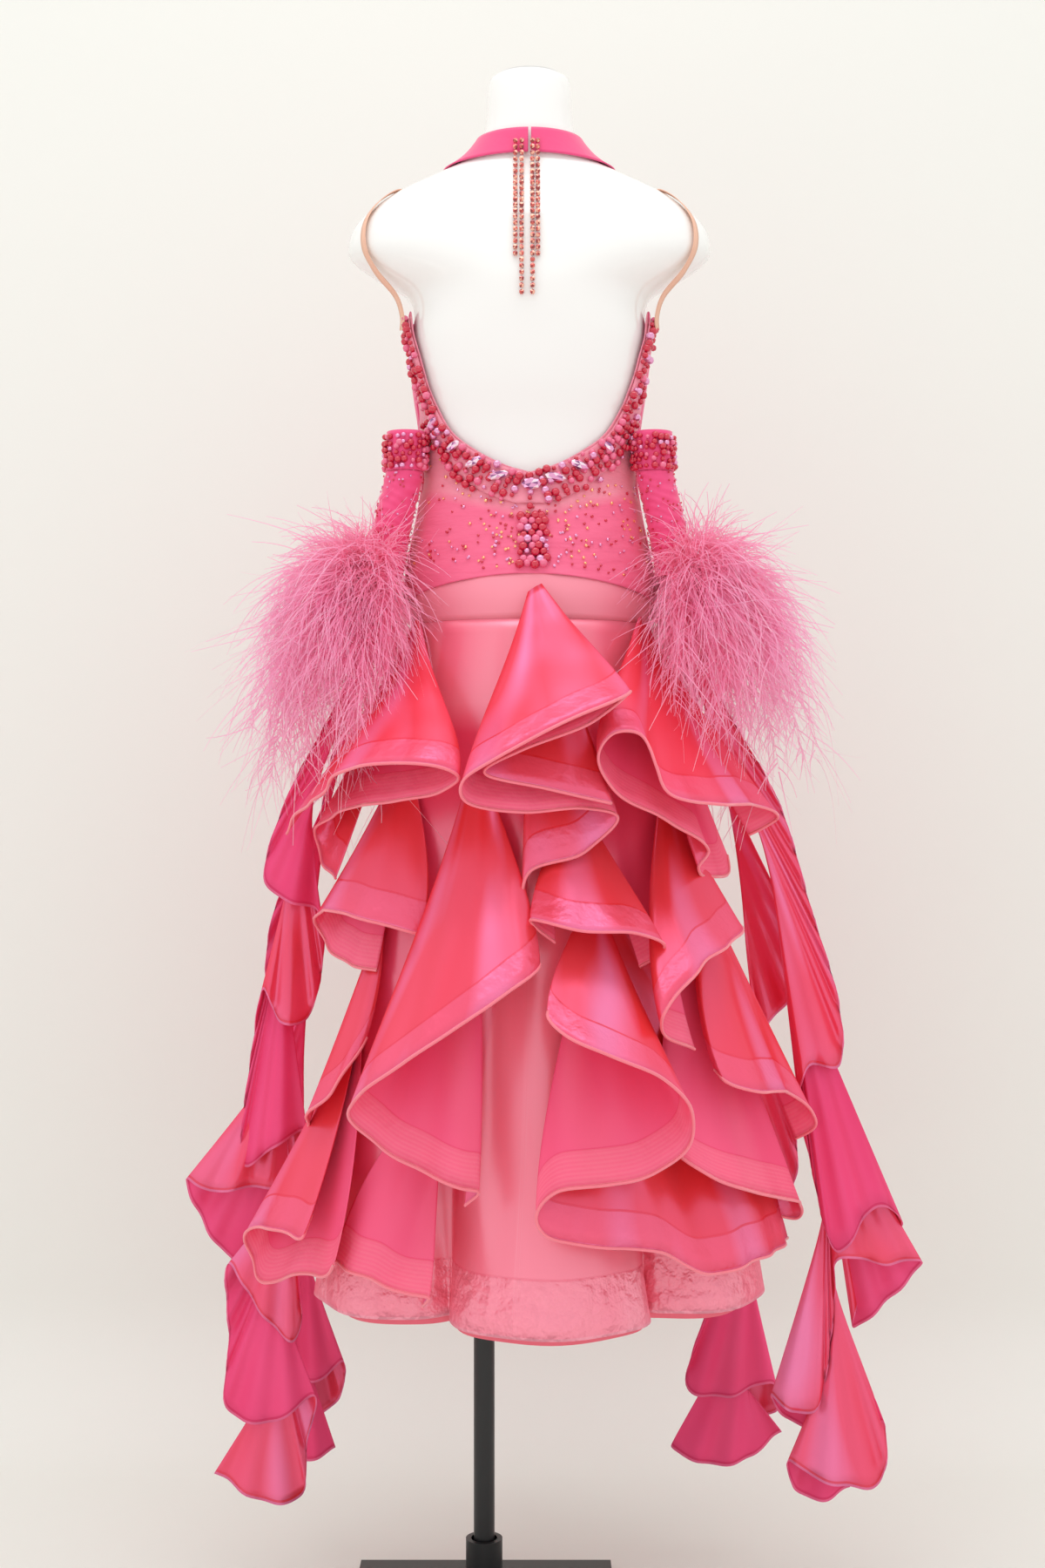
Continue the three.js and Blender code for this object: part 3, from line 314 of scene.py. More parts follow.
class Nodes:
    """A material's nodes, made and joined in few words. Values may be numbers or sockets."""

    def __init__(self, name):
        self.material = bpy.data.materials.new(name)
        self.material.use_nodes = True
        self.tree = self.material.node_tree
        self.tree.nodes.clear()

    def add(self, kind, **values):
        node = self.tree.nodes.new(kind)
        for key, value in values.items():
            setattr(node, key, value)
        return node

    def feed(self, sockets, values):
        for socket, value in zip(sockets, values):
            if isinstance(value, bpy.types.NodeSocket):
                self.tree.links.new(value, socket)
            else:
                socket.default_value = value

    def set(self, node, **sockets):
        self.feed([node.inputs[key.replace("_", " ")] for key in sockets], sockets.values())
        return node

    def math(self, operation, a, b=0.0, clamp=False):
        node = self.add("ShaderNodeMath", operation=operation, use_clamp=clamp)
        self.feed(node.inputs, (a, b))
        return node.outputs[0]

    def times(self, a, b, clamp=False):
        return self.math("MULTIPLY", a, b, clamp)

    def minus(self, a, b):
        return self.math("SUBTRACT", a, b)

    def plus(self, a, b):
        return self.math("ADD", a, b)

    def apart(self, a, b):
        return self.math("ABSOLUTE", self.minus(a, b))

    def clear_step(self, value, start, gain):
        """0 below a start, rising by the gain to 1."""
        return self.times(self.minus(value, start), gain, clamp=True)

    def mix(self, factor, a, b):
        node = self.add("ShaderNodeMix", data_type="RGBA")
        self.feed([node.inputs[0], node.inputs[6], node.inputs[7]], (factor, a, b))
        return node.outputs[2]

    def above_hem(self):
        place = self.add("ShaderNodeUVMap", uv_map="cloth").outputs[0]
        return self.set(self.add("ShaderNodeSeparateXYZ"), Vector=place).outputs[1]

    def position(self):
        place = self.add("ShaderNodeTexCoord").outputs["Object"]
        return self.set(self.add("ShaderNodeSeparateXYZ"), Vector=place).outputs

    def noise(self, scale, detail=2.0, stretch=(1, 1, 1), coordinates="Object"):
        place = self.add("ShaderNodeTexCoord").outputs[coordinates]
        place = self.set(self.add("ShaderNodeMapping"), Scale=stretch, Vector=place).outputs[0]
        node = self.add("ShaderNodeTexNoise")
        return self.set(node, Vector=place, Scale=scale, Detail=detail).outputs[0]

    def bump(self, height, strength, distance, **under):
        node = self.add("ShaderNodeBump")
        return self.set(node, Height=height, Strength=strength, Distance=distance, **under).outputs[0]

    def blend(self, factor, a, b):
        """A shader between two others."""
        both = self.add("ShaderNodeMixShader")
        self.feed(both.inputs, (factor, a.outputs[0], b.outputs[0]))
        return both.outputs[0]

    def finish(self, shader):
        self.set(self.add("ShaderNodeOutputMaterial"), Surface=shader)
        return self.material


def rgb(r, g, b):
    """A colour from display values 0 to 255."""
    def linear(c):
        c = c / 255
        return c / 12.92 if c <= 0.04045 else ((c + 0.055) / 1.055) ** 2.4
    return (linear(r), linear(g), linear(b), 1)


# Metres, but for the turn in degrees and the flare in degrees for each metre down.
HEM_BAND = 0.038
EDGE_WIDTH = 0.0028
SEAM_WIDTH = 0.0026
STITCH_PITCH = 0.0045
# The centre back panel, where the organza skirt keeps its colour; under the flounces it takes a painted
# shade.
PANEL = {"turn": 4, "top": 1.05, "flare": 44, "low": 0.53, "high": 1.0}


def clear_of_flounce_shade(n):
    """1 on the skirt's centre back panel, near its hem and its top; 0 under the flounces, where a shade
    is painted.
    """
    x, y, z = n.position()
    turn = n.math("ARCTAN2", n.minus(x, AXIS_X * MM), n.times(y, -1.0))
    aside = n.apart(turn, math.radians(PANEL["turn"]))
    flare = n.times(n.minus(PANEL["top"], z), math.radians(PANEL["flare"]))
    centre = n.times(n.minus(flare, aside), 40, clamp=True)
    low = n.times(n.minus(PANEL["low"], z), 30, clamp=True)
    high = n.clear_step(z, PANEL["high"], 30)
    return n.math("MAXIMUM", n.math("MAXIMUM", centre, low), high)


def satin(name, base, glow, shade, band=HEM_BAND, rough=0.3, gloss=0.24, lines=False, aside=None,
          highlight_streaks=0.8):
    """Satin: a red ground under a soft pink gloss, with a stitched band at the hem.

    Patches of painted shade and pale streaks of painted highlight run up the cloth, and the
    hem band has a painted sheen. Lines are rows of stitching in the band. Aside is the
    painted shade of a skirt where flounces hang over it.
    """
    n = Nodes(name)
    v = n.above_hem()
    in_band = n.math("LESS_THAN", v, band)
    edge = n.math("LESS_THAN", v, EDGE_WIDTH)
    seam = n.math("LESS_THAN", n.apart(v, band), SEAM_WIDTH / 2)
    # Painted shade: patches of the deeper red shade colour, stretched up the cloth.
    shade_patches = n.clear_step(n.noise(8, 2, (1, 0.4, 1), "UV"), 0.4, 3.2)
    # Painted highlight: pale streaks of the gloss colour, stretched up the cloth.
    sheen = n.clear_step(n.noise(11, 1, (1, 0.3, 1), "UV"), 0.5, 4.5)
    colour = n.mix(n.times(shade_patches, 0.85), base, shade)
    colour = n.mix(n.times(sheen, highlight_streaks), colour, glow)
    # Painted shade on the skirt where flounces hang over it.
    if aside is not None:
        colour = n.mix(clear_of_flounce_shade(n), aside, colour)
    # Painted sheen: the hem band is paler, towards the gloss colour.
    colour = n.mix(n.times(in_band, 0.18), colour, glow)
    colour = n.mix(n.times(edge, 0.55), colour, glow)
    colour = n.mix(n.times(seam, 0.75), colour, shade)
    if lines:
        rows = n.math("SINE", n.times(v, math.tau / STITCH_PITCH))
        rows = n.times(n.plus(rows, 1.0), 0.5)
        colour = n.mix(n.times(n.times(in_band, 0.3), rows), colour, glow)
    folds = n.bump(n.noise(9, 1, (1, 1, 0.5)), 0.6, 0.02)
    near_hem = n.times(n.minus(n.noise(55, 3), 0.5), n.times(in_band, 0.8))
    ridge = n.times(in_band, 0.35 if aside is None else n.noise(16, 2))
    height = n.plus(n.minus(near_hem, n.times(seam, 0.4)), ridge)
    normal = n.bump(height, 0.6, 0.004 if aside is None else 0.016, Normal=folds)
    diffuse = n.set(n.add("ShaderNodeBsdfDiffuse"), Color=colour, Normal=normal)
    glossy = n.set(n.add("ShaderNodeBsdfAnisotropic"), Color=glow, Roughness=rough, Normal=normal)
    return n.finish(n.blend(gloss, diffuse, glossy))


def plain(name, colour, rough, metallic=0.0, coat=0.0, sheen=0.0, bump=None):
    """One colour all over, with a fine grain where bump gives its scale, strength and depth."""
    n = Nodes(name)
    shader = n.set(n.add("ShaderNodeBsdfPrincipled"), Base_Color=colour, Roughness=rough,
                   Metallic=metallic, Coat_Weight=coat, Sheen_Weight=sheen)
    if bump is not None:
        scale, strength, distance = bump
        n.set(shader, Normal=n.bump(n.noise(scale, 3), strength, distance))
    return n.finish(shader.outputs[0])


BARB_SPAN = 260.0


def feather_material():
    """Pale pink at the tips and a deeper pink at the roots, by distance along."""
    n = Nodes("feather")
    shade = n.add("ShaderNodeValToRGB")
    n.set(shade, Fac=n.math("DIVIDE", n.above_hem(), BARB_SPAN * MM))
    stops = shade.color_ramp.elements
    stops.new(0.5)
    for stop, colour in zip(stops, (rgb(255, 236, 244), rgb(255, 192, 224), rgb(255, 158, 188))):
        stop.color = colour
    lit = n.set(n.add("ShaderNodeBsdfDiffuse"), Color=shade.outputs[0])
    glowing = n.set(n.add("ShaderNodeBsdfTranslucent"), Color=shade.outputs[0])
    return n.finish(n.blend(0.5, lit, glowing))


# The pale V, in metres: where it is lowest, and how it rises to the sides.
SHEER = {"x": 0.056, "lowest": 1.232, "slope": 0.28}


def back_material():
    """The gathered mesh: pink low down, and pale in a V under the beads, where the form shows."""
    n = Nodes("ruched_mesh")
    x, _, z = n.position()
    aside = n.apart(x, SHEER["x"])
    edge = n.plus(n.times(aside, SHEER["slope"]), SHEER["lowest"])
    sheer = n.clear_step(z, edge, 70)
    colour = n.mix(n.times(sheer, 0.5), rgb(246, 106, 146), rgb(252, 190, 200))
    pleats = n.noise(38, 3, (0.5, 1, 4))
    colour = n.mix(n.times(pleats, 0.3), colour, rgb(232, 66, 118))
    shader = n.set(n.add("ShaderNodeBsdfPrincipled"), Base_Color=colour, Roughness=0.6,
                   Sheen_Weight=0.3, Normal=n.bump(pleats, 0.5, 0.003))
    return n.finish(shader.outputs[0])


# CORAL is the satin's own ground, RED its painted shade and its seam colour, ORCHID its gloss colour and
# painted highlight.
CORAL = rgb(244, 70, 80)
ORCHID = rgb(248, 140, 190)
RED = rgb(240, 44, 36)
SATIN = satin("satin_right_side", CORAL, ORCHID, RED)
MATTE = satin("satin_wrong_side", rgb(252, 98, 142), rgb(255, 140, 158), rgb(246, 72, 120),
              rough=0.6, gloss=0.15, lines=True, highlight_streaks=0.2)
FLOAT_OUT = satin("float_right_side", rgb(242, 78, 104), ORCHID, RED, band=0.004)
FLOAT_IN = satin("float_wrong_side", rgb(244, 80, 132), rgb(246, 130, 170), rgb(226, 46, 98),
                 band=0.004, rough=0.6, gloss=0.15, highlight_streaks=0.2)
# The organza's aside colour is a painted shade under the flounces.
ORGANZA = satin("organza", rgb(255, 132, 156), rgb(255, 176, 194), rgb(250, 110, 136), rough=0.32,
                gloss=0.3, band=0.06, aside=rgb(242, 76, 116), highlight_streaks=0.5)
PIPING = plain("piping", rgb(250, 124, 142), 0.4, sheen=0.3)
UNDER = plain("underskirt", rgb(248, 112, 132), 0.7)
LYCRA = plain("lycra", rgb(248, 146, 166), 0.5, sheen=0.3)
BODICE = plain("bodice_mesh", rgb(242, 72, 132), 0.6, sheen=0.3, bump=(90, 0.25, 0.002))
NUDE = plain("nude_elastic", rgb(240, 190, 165), 0.6)
WHITE = plain("form_shell", (0.94, 0.935, 0.92, 1), 0.1, coat=0.8)
BLACK = plain("black_paint", (0.012, 0.012, 0.013, 1), 0.35)
PEARL_RED = plain("pearl_red", rgb(208, 20, 60), 0.22, coat=0.8)
PEARL_PINK = plain("pearl_pink", rgb(240, 106, 146), 0.22, coat=0.8)
CRYSTAL = plain("crystal_rose", rgb(236, 160, 205), 0.04, metallic=0.6, coat=1.0)
PEARLS = [PEARL_RED, PEARL_PINK, CRYSTAL]
GOLD_STONE = plain("crystal_gold", rgb(255, 186, 130), 0.08, metallic=0.6, coat=1.0)
# Pale and dark copies of the crystal, drawn face by face: a painted glint and a painted shade on its
# facets.
FACET_PAINTED_GLINT = plain("facet_painted_glint", rgb(250, 226, 240), 0.05, metallic=0.4, coat=1.0)
FACET_PAINTED_SHADE = plain("facet_painted_shade", rgb(150, 84, 140), 0.05, metallic=0.6, coat=1.0)
CHAIN_STONE = plain("chain_stone", rgb(214, 84, 72), 0.12, metallic=0.3, coat=1.0)
# Pale and dark copies of the chain stone, drawn face by face: a painted glint and a painted shade on its
# facets.
CHAIN_PAINTED_GLINT = plain("chain_painted_glint", rgb(246, 176, 150), 0.1, metallic=0.4, coat=1.0)
CHAIN_PAINTED_SHADE = plain("chain_painted_shade", rgb(150, 34, 36), 0.1, metallic=0.3, coat=1.0)
RUCHED = back_material()
FEATHER = feather_material()

# ---------------- stand and form

TUBE_SIDES = 48
SHARP_EDGE = 40


def stand():
    """The pole and its socket as round tubes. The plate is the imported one, painted."""
    foot = PLATE_TOP + GAP
    tube("pole_tube", POLE_RADIUS, foot, FORM[0, 0] - GAP, "figure", "stand_pole")
    tube("socket_tube", SOCKET["outer"], foot, SOCKET["top"], "base", "stand_sleeve", SOCKET["inner"])
    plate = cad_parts["stand_plate"].data.materials
    plate.clear()
    plate.append(BLACK)


def tube(name, radius, bottom, top, body, node, inner=None):
    profile = [(radius, bottom), (radius, top)]
    faces = rod_faces(2, TUBE_SIDES)
    if inner is not None:
        profile = [(inner, bottom), *profile, (inner, top), (inner, bottom)]
        faces = grid_faces(len(profile), TUBE_SIDES, closed=True)
    angles = np.arange(TUBE_SIDES) * math.tau / TUBE_SIDES
    points = [(r * math.cos(a), r * math.sin(a), z) for r, z in profile for a in angles]
    obj = new_object(name, points, faces, [BLACK], smooth_faces=False)
    bpy.context.view_layer.objects.active = obj
    obj.select_set(True)
    bpy.ops.object.shade_smooth_by_angle(angle=math.radians(SHARP_EDGE))
    obj.select_set(False)
    attach(obj, node, body=body)


def form():
    sides, rings = 120, 110
    z = np.linspace(FORM[0, 0], FORM[-1, 0], rings)
    turn = np.arange(sides) * 360 / sides
    grid = on_form(turn[None, :], z[:, None], 0.0)
    points = np.vstack([grid.reshape(-1, 3), [(AXIS_X, 0, FORM[0, 0]), (AXIS_X, 0, FORM[-1, 0])]])
    faces = grid_faces(rings, sides, closed=True)
    base, bottom = (rings - 1) * sides, rings * sides
    for k in range(sides):
        m = (k + 1) % sides
        faces.append((bottom, m, k))
        faces.append((bottom + 1, base + k, base + m))
    attach(new_object("form_shell", points, faces, [WHITE]), "dress_form")


# ---------------- bodice

def neckline(turn):
    return smooth(NECKLINE, 1, folded(turn))


def front_edge(turn):
    return smooth(FRONT_EDGE, 1, folded(turn))


def yoke_top(turn):
    rise = 26 * np.cos(np.radians(folded(turn) * 90 / SIDE_SEAM))
    return np.where(folded(turn) < SIDE_SEAM, YOKE_TOP + rise, YOKE_TOP)


def bodice():
    share = steps(60)
    turn = np.linspace(SIDE_SEAM + 0.2, 360 - SIDE_SEAM - 0.2, 120)[None, :]
    z = mix(front_edge(turn), YOKE_TOP - 3, share)
    lift = EASE + 1.6 + 3.4 * np.clip((z - 1480) / 36, 0, 1)
    cloth("bodice_cloth", on_form(turn, z, lift), [BODICE], node="bodice_front")

    turn = np.linspace(-SIDE_SEAM - 0.6, SIDE_SEAM + 0.6, 180)[None, :]
    share = steps(90)
    z = mix(neckline(turn), yoke_top(turn) - 3, share)
    ridge = ruche(turn, z)
    cloth("back_ruching", on_form(turn, z, EASE + 1.0 + ridge), [RUCHED], node="back_panel")

    turn = np.arange(180)[None, :] * 2.0
    share = steps(8)
    z = mix(yoke_top(turn), YOKE_BOTTOM + 0.3, share)
    cloth("yoke_cloth", on_form(turn, z, EASE + 0.2), [LYCRA], 1.4, closed=True, node="hip_yoke")

    turn = np.linspace(1.6, 358.4, 150)[None, :]
    share = steps(10)
    lower = mix(1644, 1652, (1 + np.cos(np.radians(turn))) / 2)
    cloth("collar_cloth", on_form(turn, mix(1681, lower, share), 5.0), [BODICE], 1.4,
          node="collar")


def ruche(turn, z):
    """Fine ridges that run from the side seams into the gathered centre back."""
    side = np.abs(turn - 2) / SIDE_SEAM
    from_middle = (z - 1213) / (0.55 + side)
    broad = np.sin(from_middle / 9.5 + 1.3 * np.sin(turn * 0.05 + 1))
    fine = np.sin(from_middle / 4.1 + 2.1 * np.sin(turn * 0.083))
    return 0.85 * broad * (0.5 + 0.5 * np.sin(turn * 0.19 + z * 0.03)) + 0.35 * fine + 0.5


# turn, height and lift along the right strap, from the front over the shoulder to the back
STRAP = [
    (128, 1508, 13.5), (125, 1532, 12.5), (120, 1560, 5), (112, 1592, 4), (98, 1622, 4),
    (88, 1624, 4), (82, 1606, 4), (78, 1578, 4), (76, 1548, 4), (76.5, 1524, 12), (78, 1496, 20),
    (79, 1474, 16), (80, 1460, 15),
]


def straps():
    for side, name in ((-1, "left"), (1, "right")):
        rows = np.array(STRAP, float)
        points = on_form(side * rows[:, 0], rows[:, 1], rows[:, 2])
        curve = through(points, 8)
        tangent = np.gradient(curve, axis=0)
        outward = curve - np.array([AXIS_X + side * 90, 0, 1480])
        across = unit(np.cross(tangent, outward))
        grid = np.stack([curve - 5 * across, curve, curve + 5 * across])
        cloth(f"strap_{name}_elastic", grid, [NUDE], 1.0, node=f"strap_{name}")


# ---------------- beadwork

BEAD_FOOT = EASE + 4.6
BEAD_ROWS = 6
BEAD_PITCH = 8.4
BEAD_SIZES = [5.0, 3.9, 2.7]
BEAD_BAND = {"wide": 36, "narrow": 12}
LOOSE_STONES = 460


def normals_on_form(turn, z):
    a = on_form(turn + 1, z, 0.0) - on_form(turn - 1, z, 0.0)
    b = on_form(turn, z + 2, 0.0) - on_form(turn, z - 2, 0.0)
    return unit(np.cross(a, b))


def neckline_stations(pitch):
    """Evenly spaced places along the neckline: turn, height, band width and the way down the band."""
    fine = np.linspace(-SIDE_SEAM, SIDE_SEAM, 801)
    length = distance_along(on_form(fine, neckline(fine) - 2, 0.0))
    want = np.linspace(0.015, 0.985, int(length[-1] / pitch)) * length[-1]
    turn = np.interp(want, length, fine)
    z = neckline(turn) - 2
    slope = np.gradient(neckline(fine), fine)
    slope = np.interp(turn, fine, slope) / np.radians(form_reach(turn, 1330.0))
    size = np.hypot(1, slope)
    return turn, z, band_width(turn), slope / size, -1 / size


def band_width(turn):
    return mix(BEAD_BAND["wide"], BEAD_BAND["narrow"], (folded(turn) / SIDE_SEAM) ** 2)


def on_band(stations, share, lift):
    turn, z, width, turn_way, height_way = stations
    off = width * share
    height = z + height_way * off
    place = turn + np.degrees(turn_way * off / form_reach(turn, height))
    return on_form(place, height, lift), normals_on_form(place, height)


def bead_band():
    backing = []
    stations = neckline_stations(4)
    for share in np.linspace(0, 1, 10):
        backing.append(on_band(stations, share, BEAD_FOOT)[0])
    cloth("bead_backing", np.array(backing), [RUCHED], node="bead_band")
    beads = []
    stations = neckline_stations(BEAD_PITCH)
    keep = np.arange(len(stations[0]))
    for row in range(BEAD_ROWS):
        across = row + 0.4 + RNG.uniform(-0.4, 0.4, len(keep))
        share = np.clip(across / (BEAD_ROWS - 0.6), 0.0, 1.1)
        narrow = (stations[2] < 22) & (row % 2 == 1)
        points, normal = on_band(stations, share, BEAD_FOOT + 2.8)
        for i in keep[~narrow & (RNG.random(len(keep)) < 0.9)]:
            kind = RNG.choice(3, p=[0.62, 0.26, 0.12])
            size = RNG.choice(BEAD_SIZES, p=[0.45, 0.3, 0.25])
            beads.append((points[i] + RNG.normal(0, 0.7, 3), normal[i], [size], kind))
    centres, normals, sizes_mm, kinds = zip(*beads)
    scatter("bead_band_pearls", centres, normals, sizes_mm, PEARLS, kinds=kinds)
    marquises()
    loose_stones()


# turn, height, half width and half length of each large crystal
MARQUISES = [
    (-62, 1350, 4, 8), (-50, 1321, 4.5, 10), (-37, 1302, 5, 11), (-21, 1286, 5, 12),
    (1, 1276, 7, 11), (17, 1284, 5, 12), (33, 1298, 5, 11), (51, 1321, 4.5, 10),
]


def marquises():
    rows = np.array(MARQUISES, float)
    centres = on_form(rows[:, 0], rows[:, 1], BEAD_FOOT + 6.0)
    normals = normals_on_form(rows[:, 0], rows[:, 1])
    spin = np.radians(90 - rows[:, 0] * 0.6)
    scale = np.stack([rows[:, 2], rows[:, 3], np.full(len(rows), 2.6)], axis=1)
    # Each face draws one of the crystal, its painted glint and its painted shade, at random.
    scatter("marquise_crystals", centres, normals, scale, [CRYSTAL, FACET_PAINTED_GLINT, FACET_PAINTED_SHADE],
            shape=CUT_BALL, spin=spin)


def loose_stones():
    """Small stones that thin out below the band, towards the yoke and the sides."""
    count = LOOSE_STONES
    turn = np.where(RNG.random(count) < 0.5, RNG.normal(2, 20, count), RNG.uniform(-76, 78, count))
    z = RNG.uniform(1160, 1330, count)
    lowest_bead = neckline(turn) - 2 - band_width(turn)
    good = (z > yoke_top(turn) + 6) & (z < lowest_bead - 3) & (folded(turn) < 77)
    turn, z = turn[good], z[good]
    size = RNG.uniform(1.4, 2.1, len(turn))
    kinds = RNG.choice(3, len(turn), p=[0.3, 0.3, 0.4])
    scatter("loose_stones", on_form(turn, z, EASE + 3.2), normals_on_form(turn, z),
            np.stack([size, size, size * 0.8], axis=1), [PEARL_RED, CRYSTAL, GOLD_STONE],
            shape=GEM, kinds=kinds)


def bead_cluster():
    column, row = np.meshgrid(np.arange(4), np.arange(9))
    turn = mix(-5.5, 9.5, (column.ravel() + row.ravel() % 2 * 0.5) / 3.5) + RNG.uniform(-0.5, 0.5, 36)
    z = mix(1185, 1240, row.ravel() / 8) + RNG.uniform(-1.5, 1.5, 36)
    count = len(z)
    size = RNG.choice([3.6, 4.6, 5.4], count, p=[0.25, 0.35, 0.4])
    kinds = RNG.choice(3, count, p=[0.6, 0.2, 0.2])
    scatter("cluster_pearls", on_form(turn, z, BEAD_FOOT + 0.6), normals_on_form(turn, z),
            size[:, None], PEARLS, kinds=kinds, node="bead_cluster")


# Each chain: how far along X it hangs and the height of its lowest stone.
CHAINS = [(36, 1520), (43, 1477), (55, 1477), (61, 1520)]
CHAIN_TOP = 1664.0
CHAIN_PITCH = 7.2


def stone_chains():
    centres = []
    for x, foot in CHAINS:
        z = np.arange(CHAIN_TOP, foot, -CHAIN_PITCH)
        turn = np.degrees(np.arctan2(x - AXIS_X, form_reach(0.0, z)))
        clear = mix(9.4, 3.4, np.clip((CHAIN_TOP - z - 12) / 24, 0, 1))
        points = on_form(turn, z, clear)
        points[:, 0] = x
        centres.append(points)
    centres = np.vstack(centres)
    normals = np.tile([0.0, -1.0, 0.15], (len(centres), 1))
    # Each face draws one of the stone, its painted glint and its painted shade, at random.
    scatter("chain_stones", centres, normals, (3.3, 3.3, 2.6), [CHAIN_STONE, CHAIN_PAINTED_GLINT, CHAIN_PAINTED_SHADE],
            shape=GEM, node="stone_chains")


# ---------------- skirts

def fold_drop(z):
    return np.maximum(0, (FOLDS["start"] - z) / (FOLDS["start"] - FOLDS["hem"]))


def fold_angle(turn):
    return np.radians(FOLDS["count"] * (turn - FOLDS["phase"]))


def fold_tuck(turn, z):
    """How far round, in degrees, the folds lean over their troughs."""
    return FOLDS["tuck"] * fold_drop(z)**2 * np.sin(fold_angle(turn))


def fold_inward(turn, z):
    return FOLDS["depth"] * fold_drop(z) * (1 - np.cos(fold_angle(turn))) / 2


def skirt_point(turn, z, lift):
    place = turn + fold_tuck(turn, z)
    points = around(place, z, gown_reach(place, z) + lift - fold_inward(turn, z))
    points[..., 0] += FOLDS["shift"] * fold_drop(np.broadcast_to(z, points[..., 0].shape))
    return points


def skirt_dip(turn, z):
    """How far the folded skirt lies inside the plain one at a turn and height."""
    own = np.array(turn, float)
    for _ in range(6):
        own = turn - fold_tuck(own, z)
    return fold_inward(own, z) - FOLDS["shift"] * fold_drop(z) * np.sin(np.radians(turn))


SKIRT_COLUMNS, SKIRT_ROWS = 320, 46
FINE_WAVES = {"count": 31, "size": 1.6}
HEM_WAVES = {"count": 22, "size": 4.2}


def skirts():
    turn = np.arange(SKIRT_COLUMNS)[None, :] * 360 / SKIRT_COLUMNS
    for name, top, hem, top_lift, lift, material, node in (
        ("skirt_organza", YOKE_BOTTOM + 2, SKIRT_HEM, -0.2, -0.8, [ORGANZA], "skirt_outer"),
        ("skirt_lining", YOKE_BOTTOM - 3, UNDER_HEM, -3.0, -17.6, [UNDER], "skirt_under"),
    ):
        z = mix(top, hem, steps(SKIRT_ROWS))
        eased = mix(top_lift, lift, np.minimum(1, (top - z) / 90))
        drop = fold_drop(z)
        small = FINE_WAVES["size"] * np.sin(np.radians(FINE_WAVES["count"] * turn) + z * 0.01) * drop
        uneven = np.radians(HEM_WAVES["count"] * turn) + 1.7 * np.sin(np.radians(5 * turn))
        small = small + HEM_WAVES["size"] * drop**5 * np.sin(uneven)
        cloth(name, skirt_point(turn, z, eased + small), material, 1.0, closed=True, node=node)


# ---------------- flounces

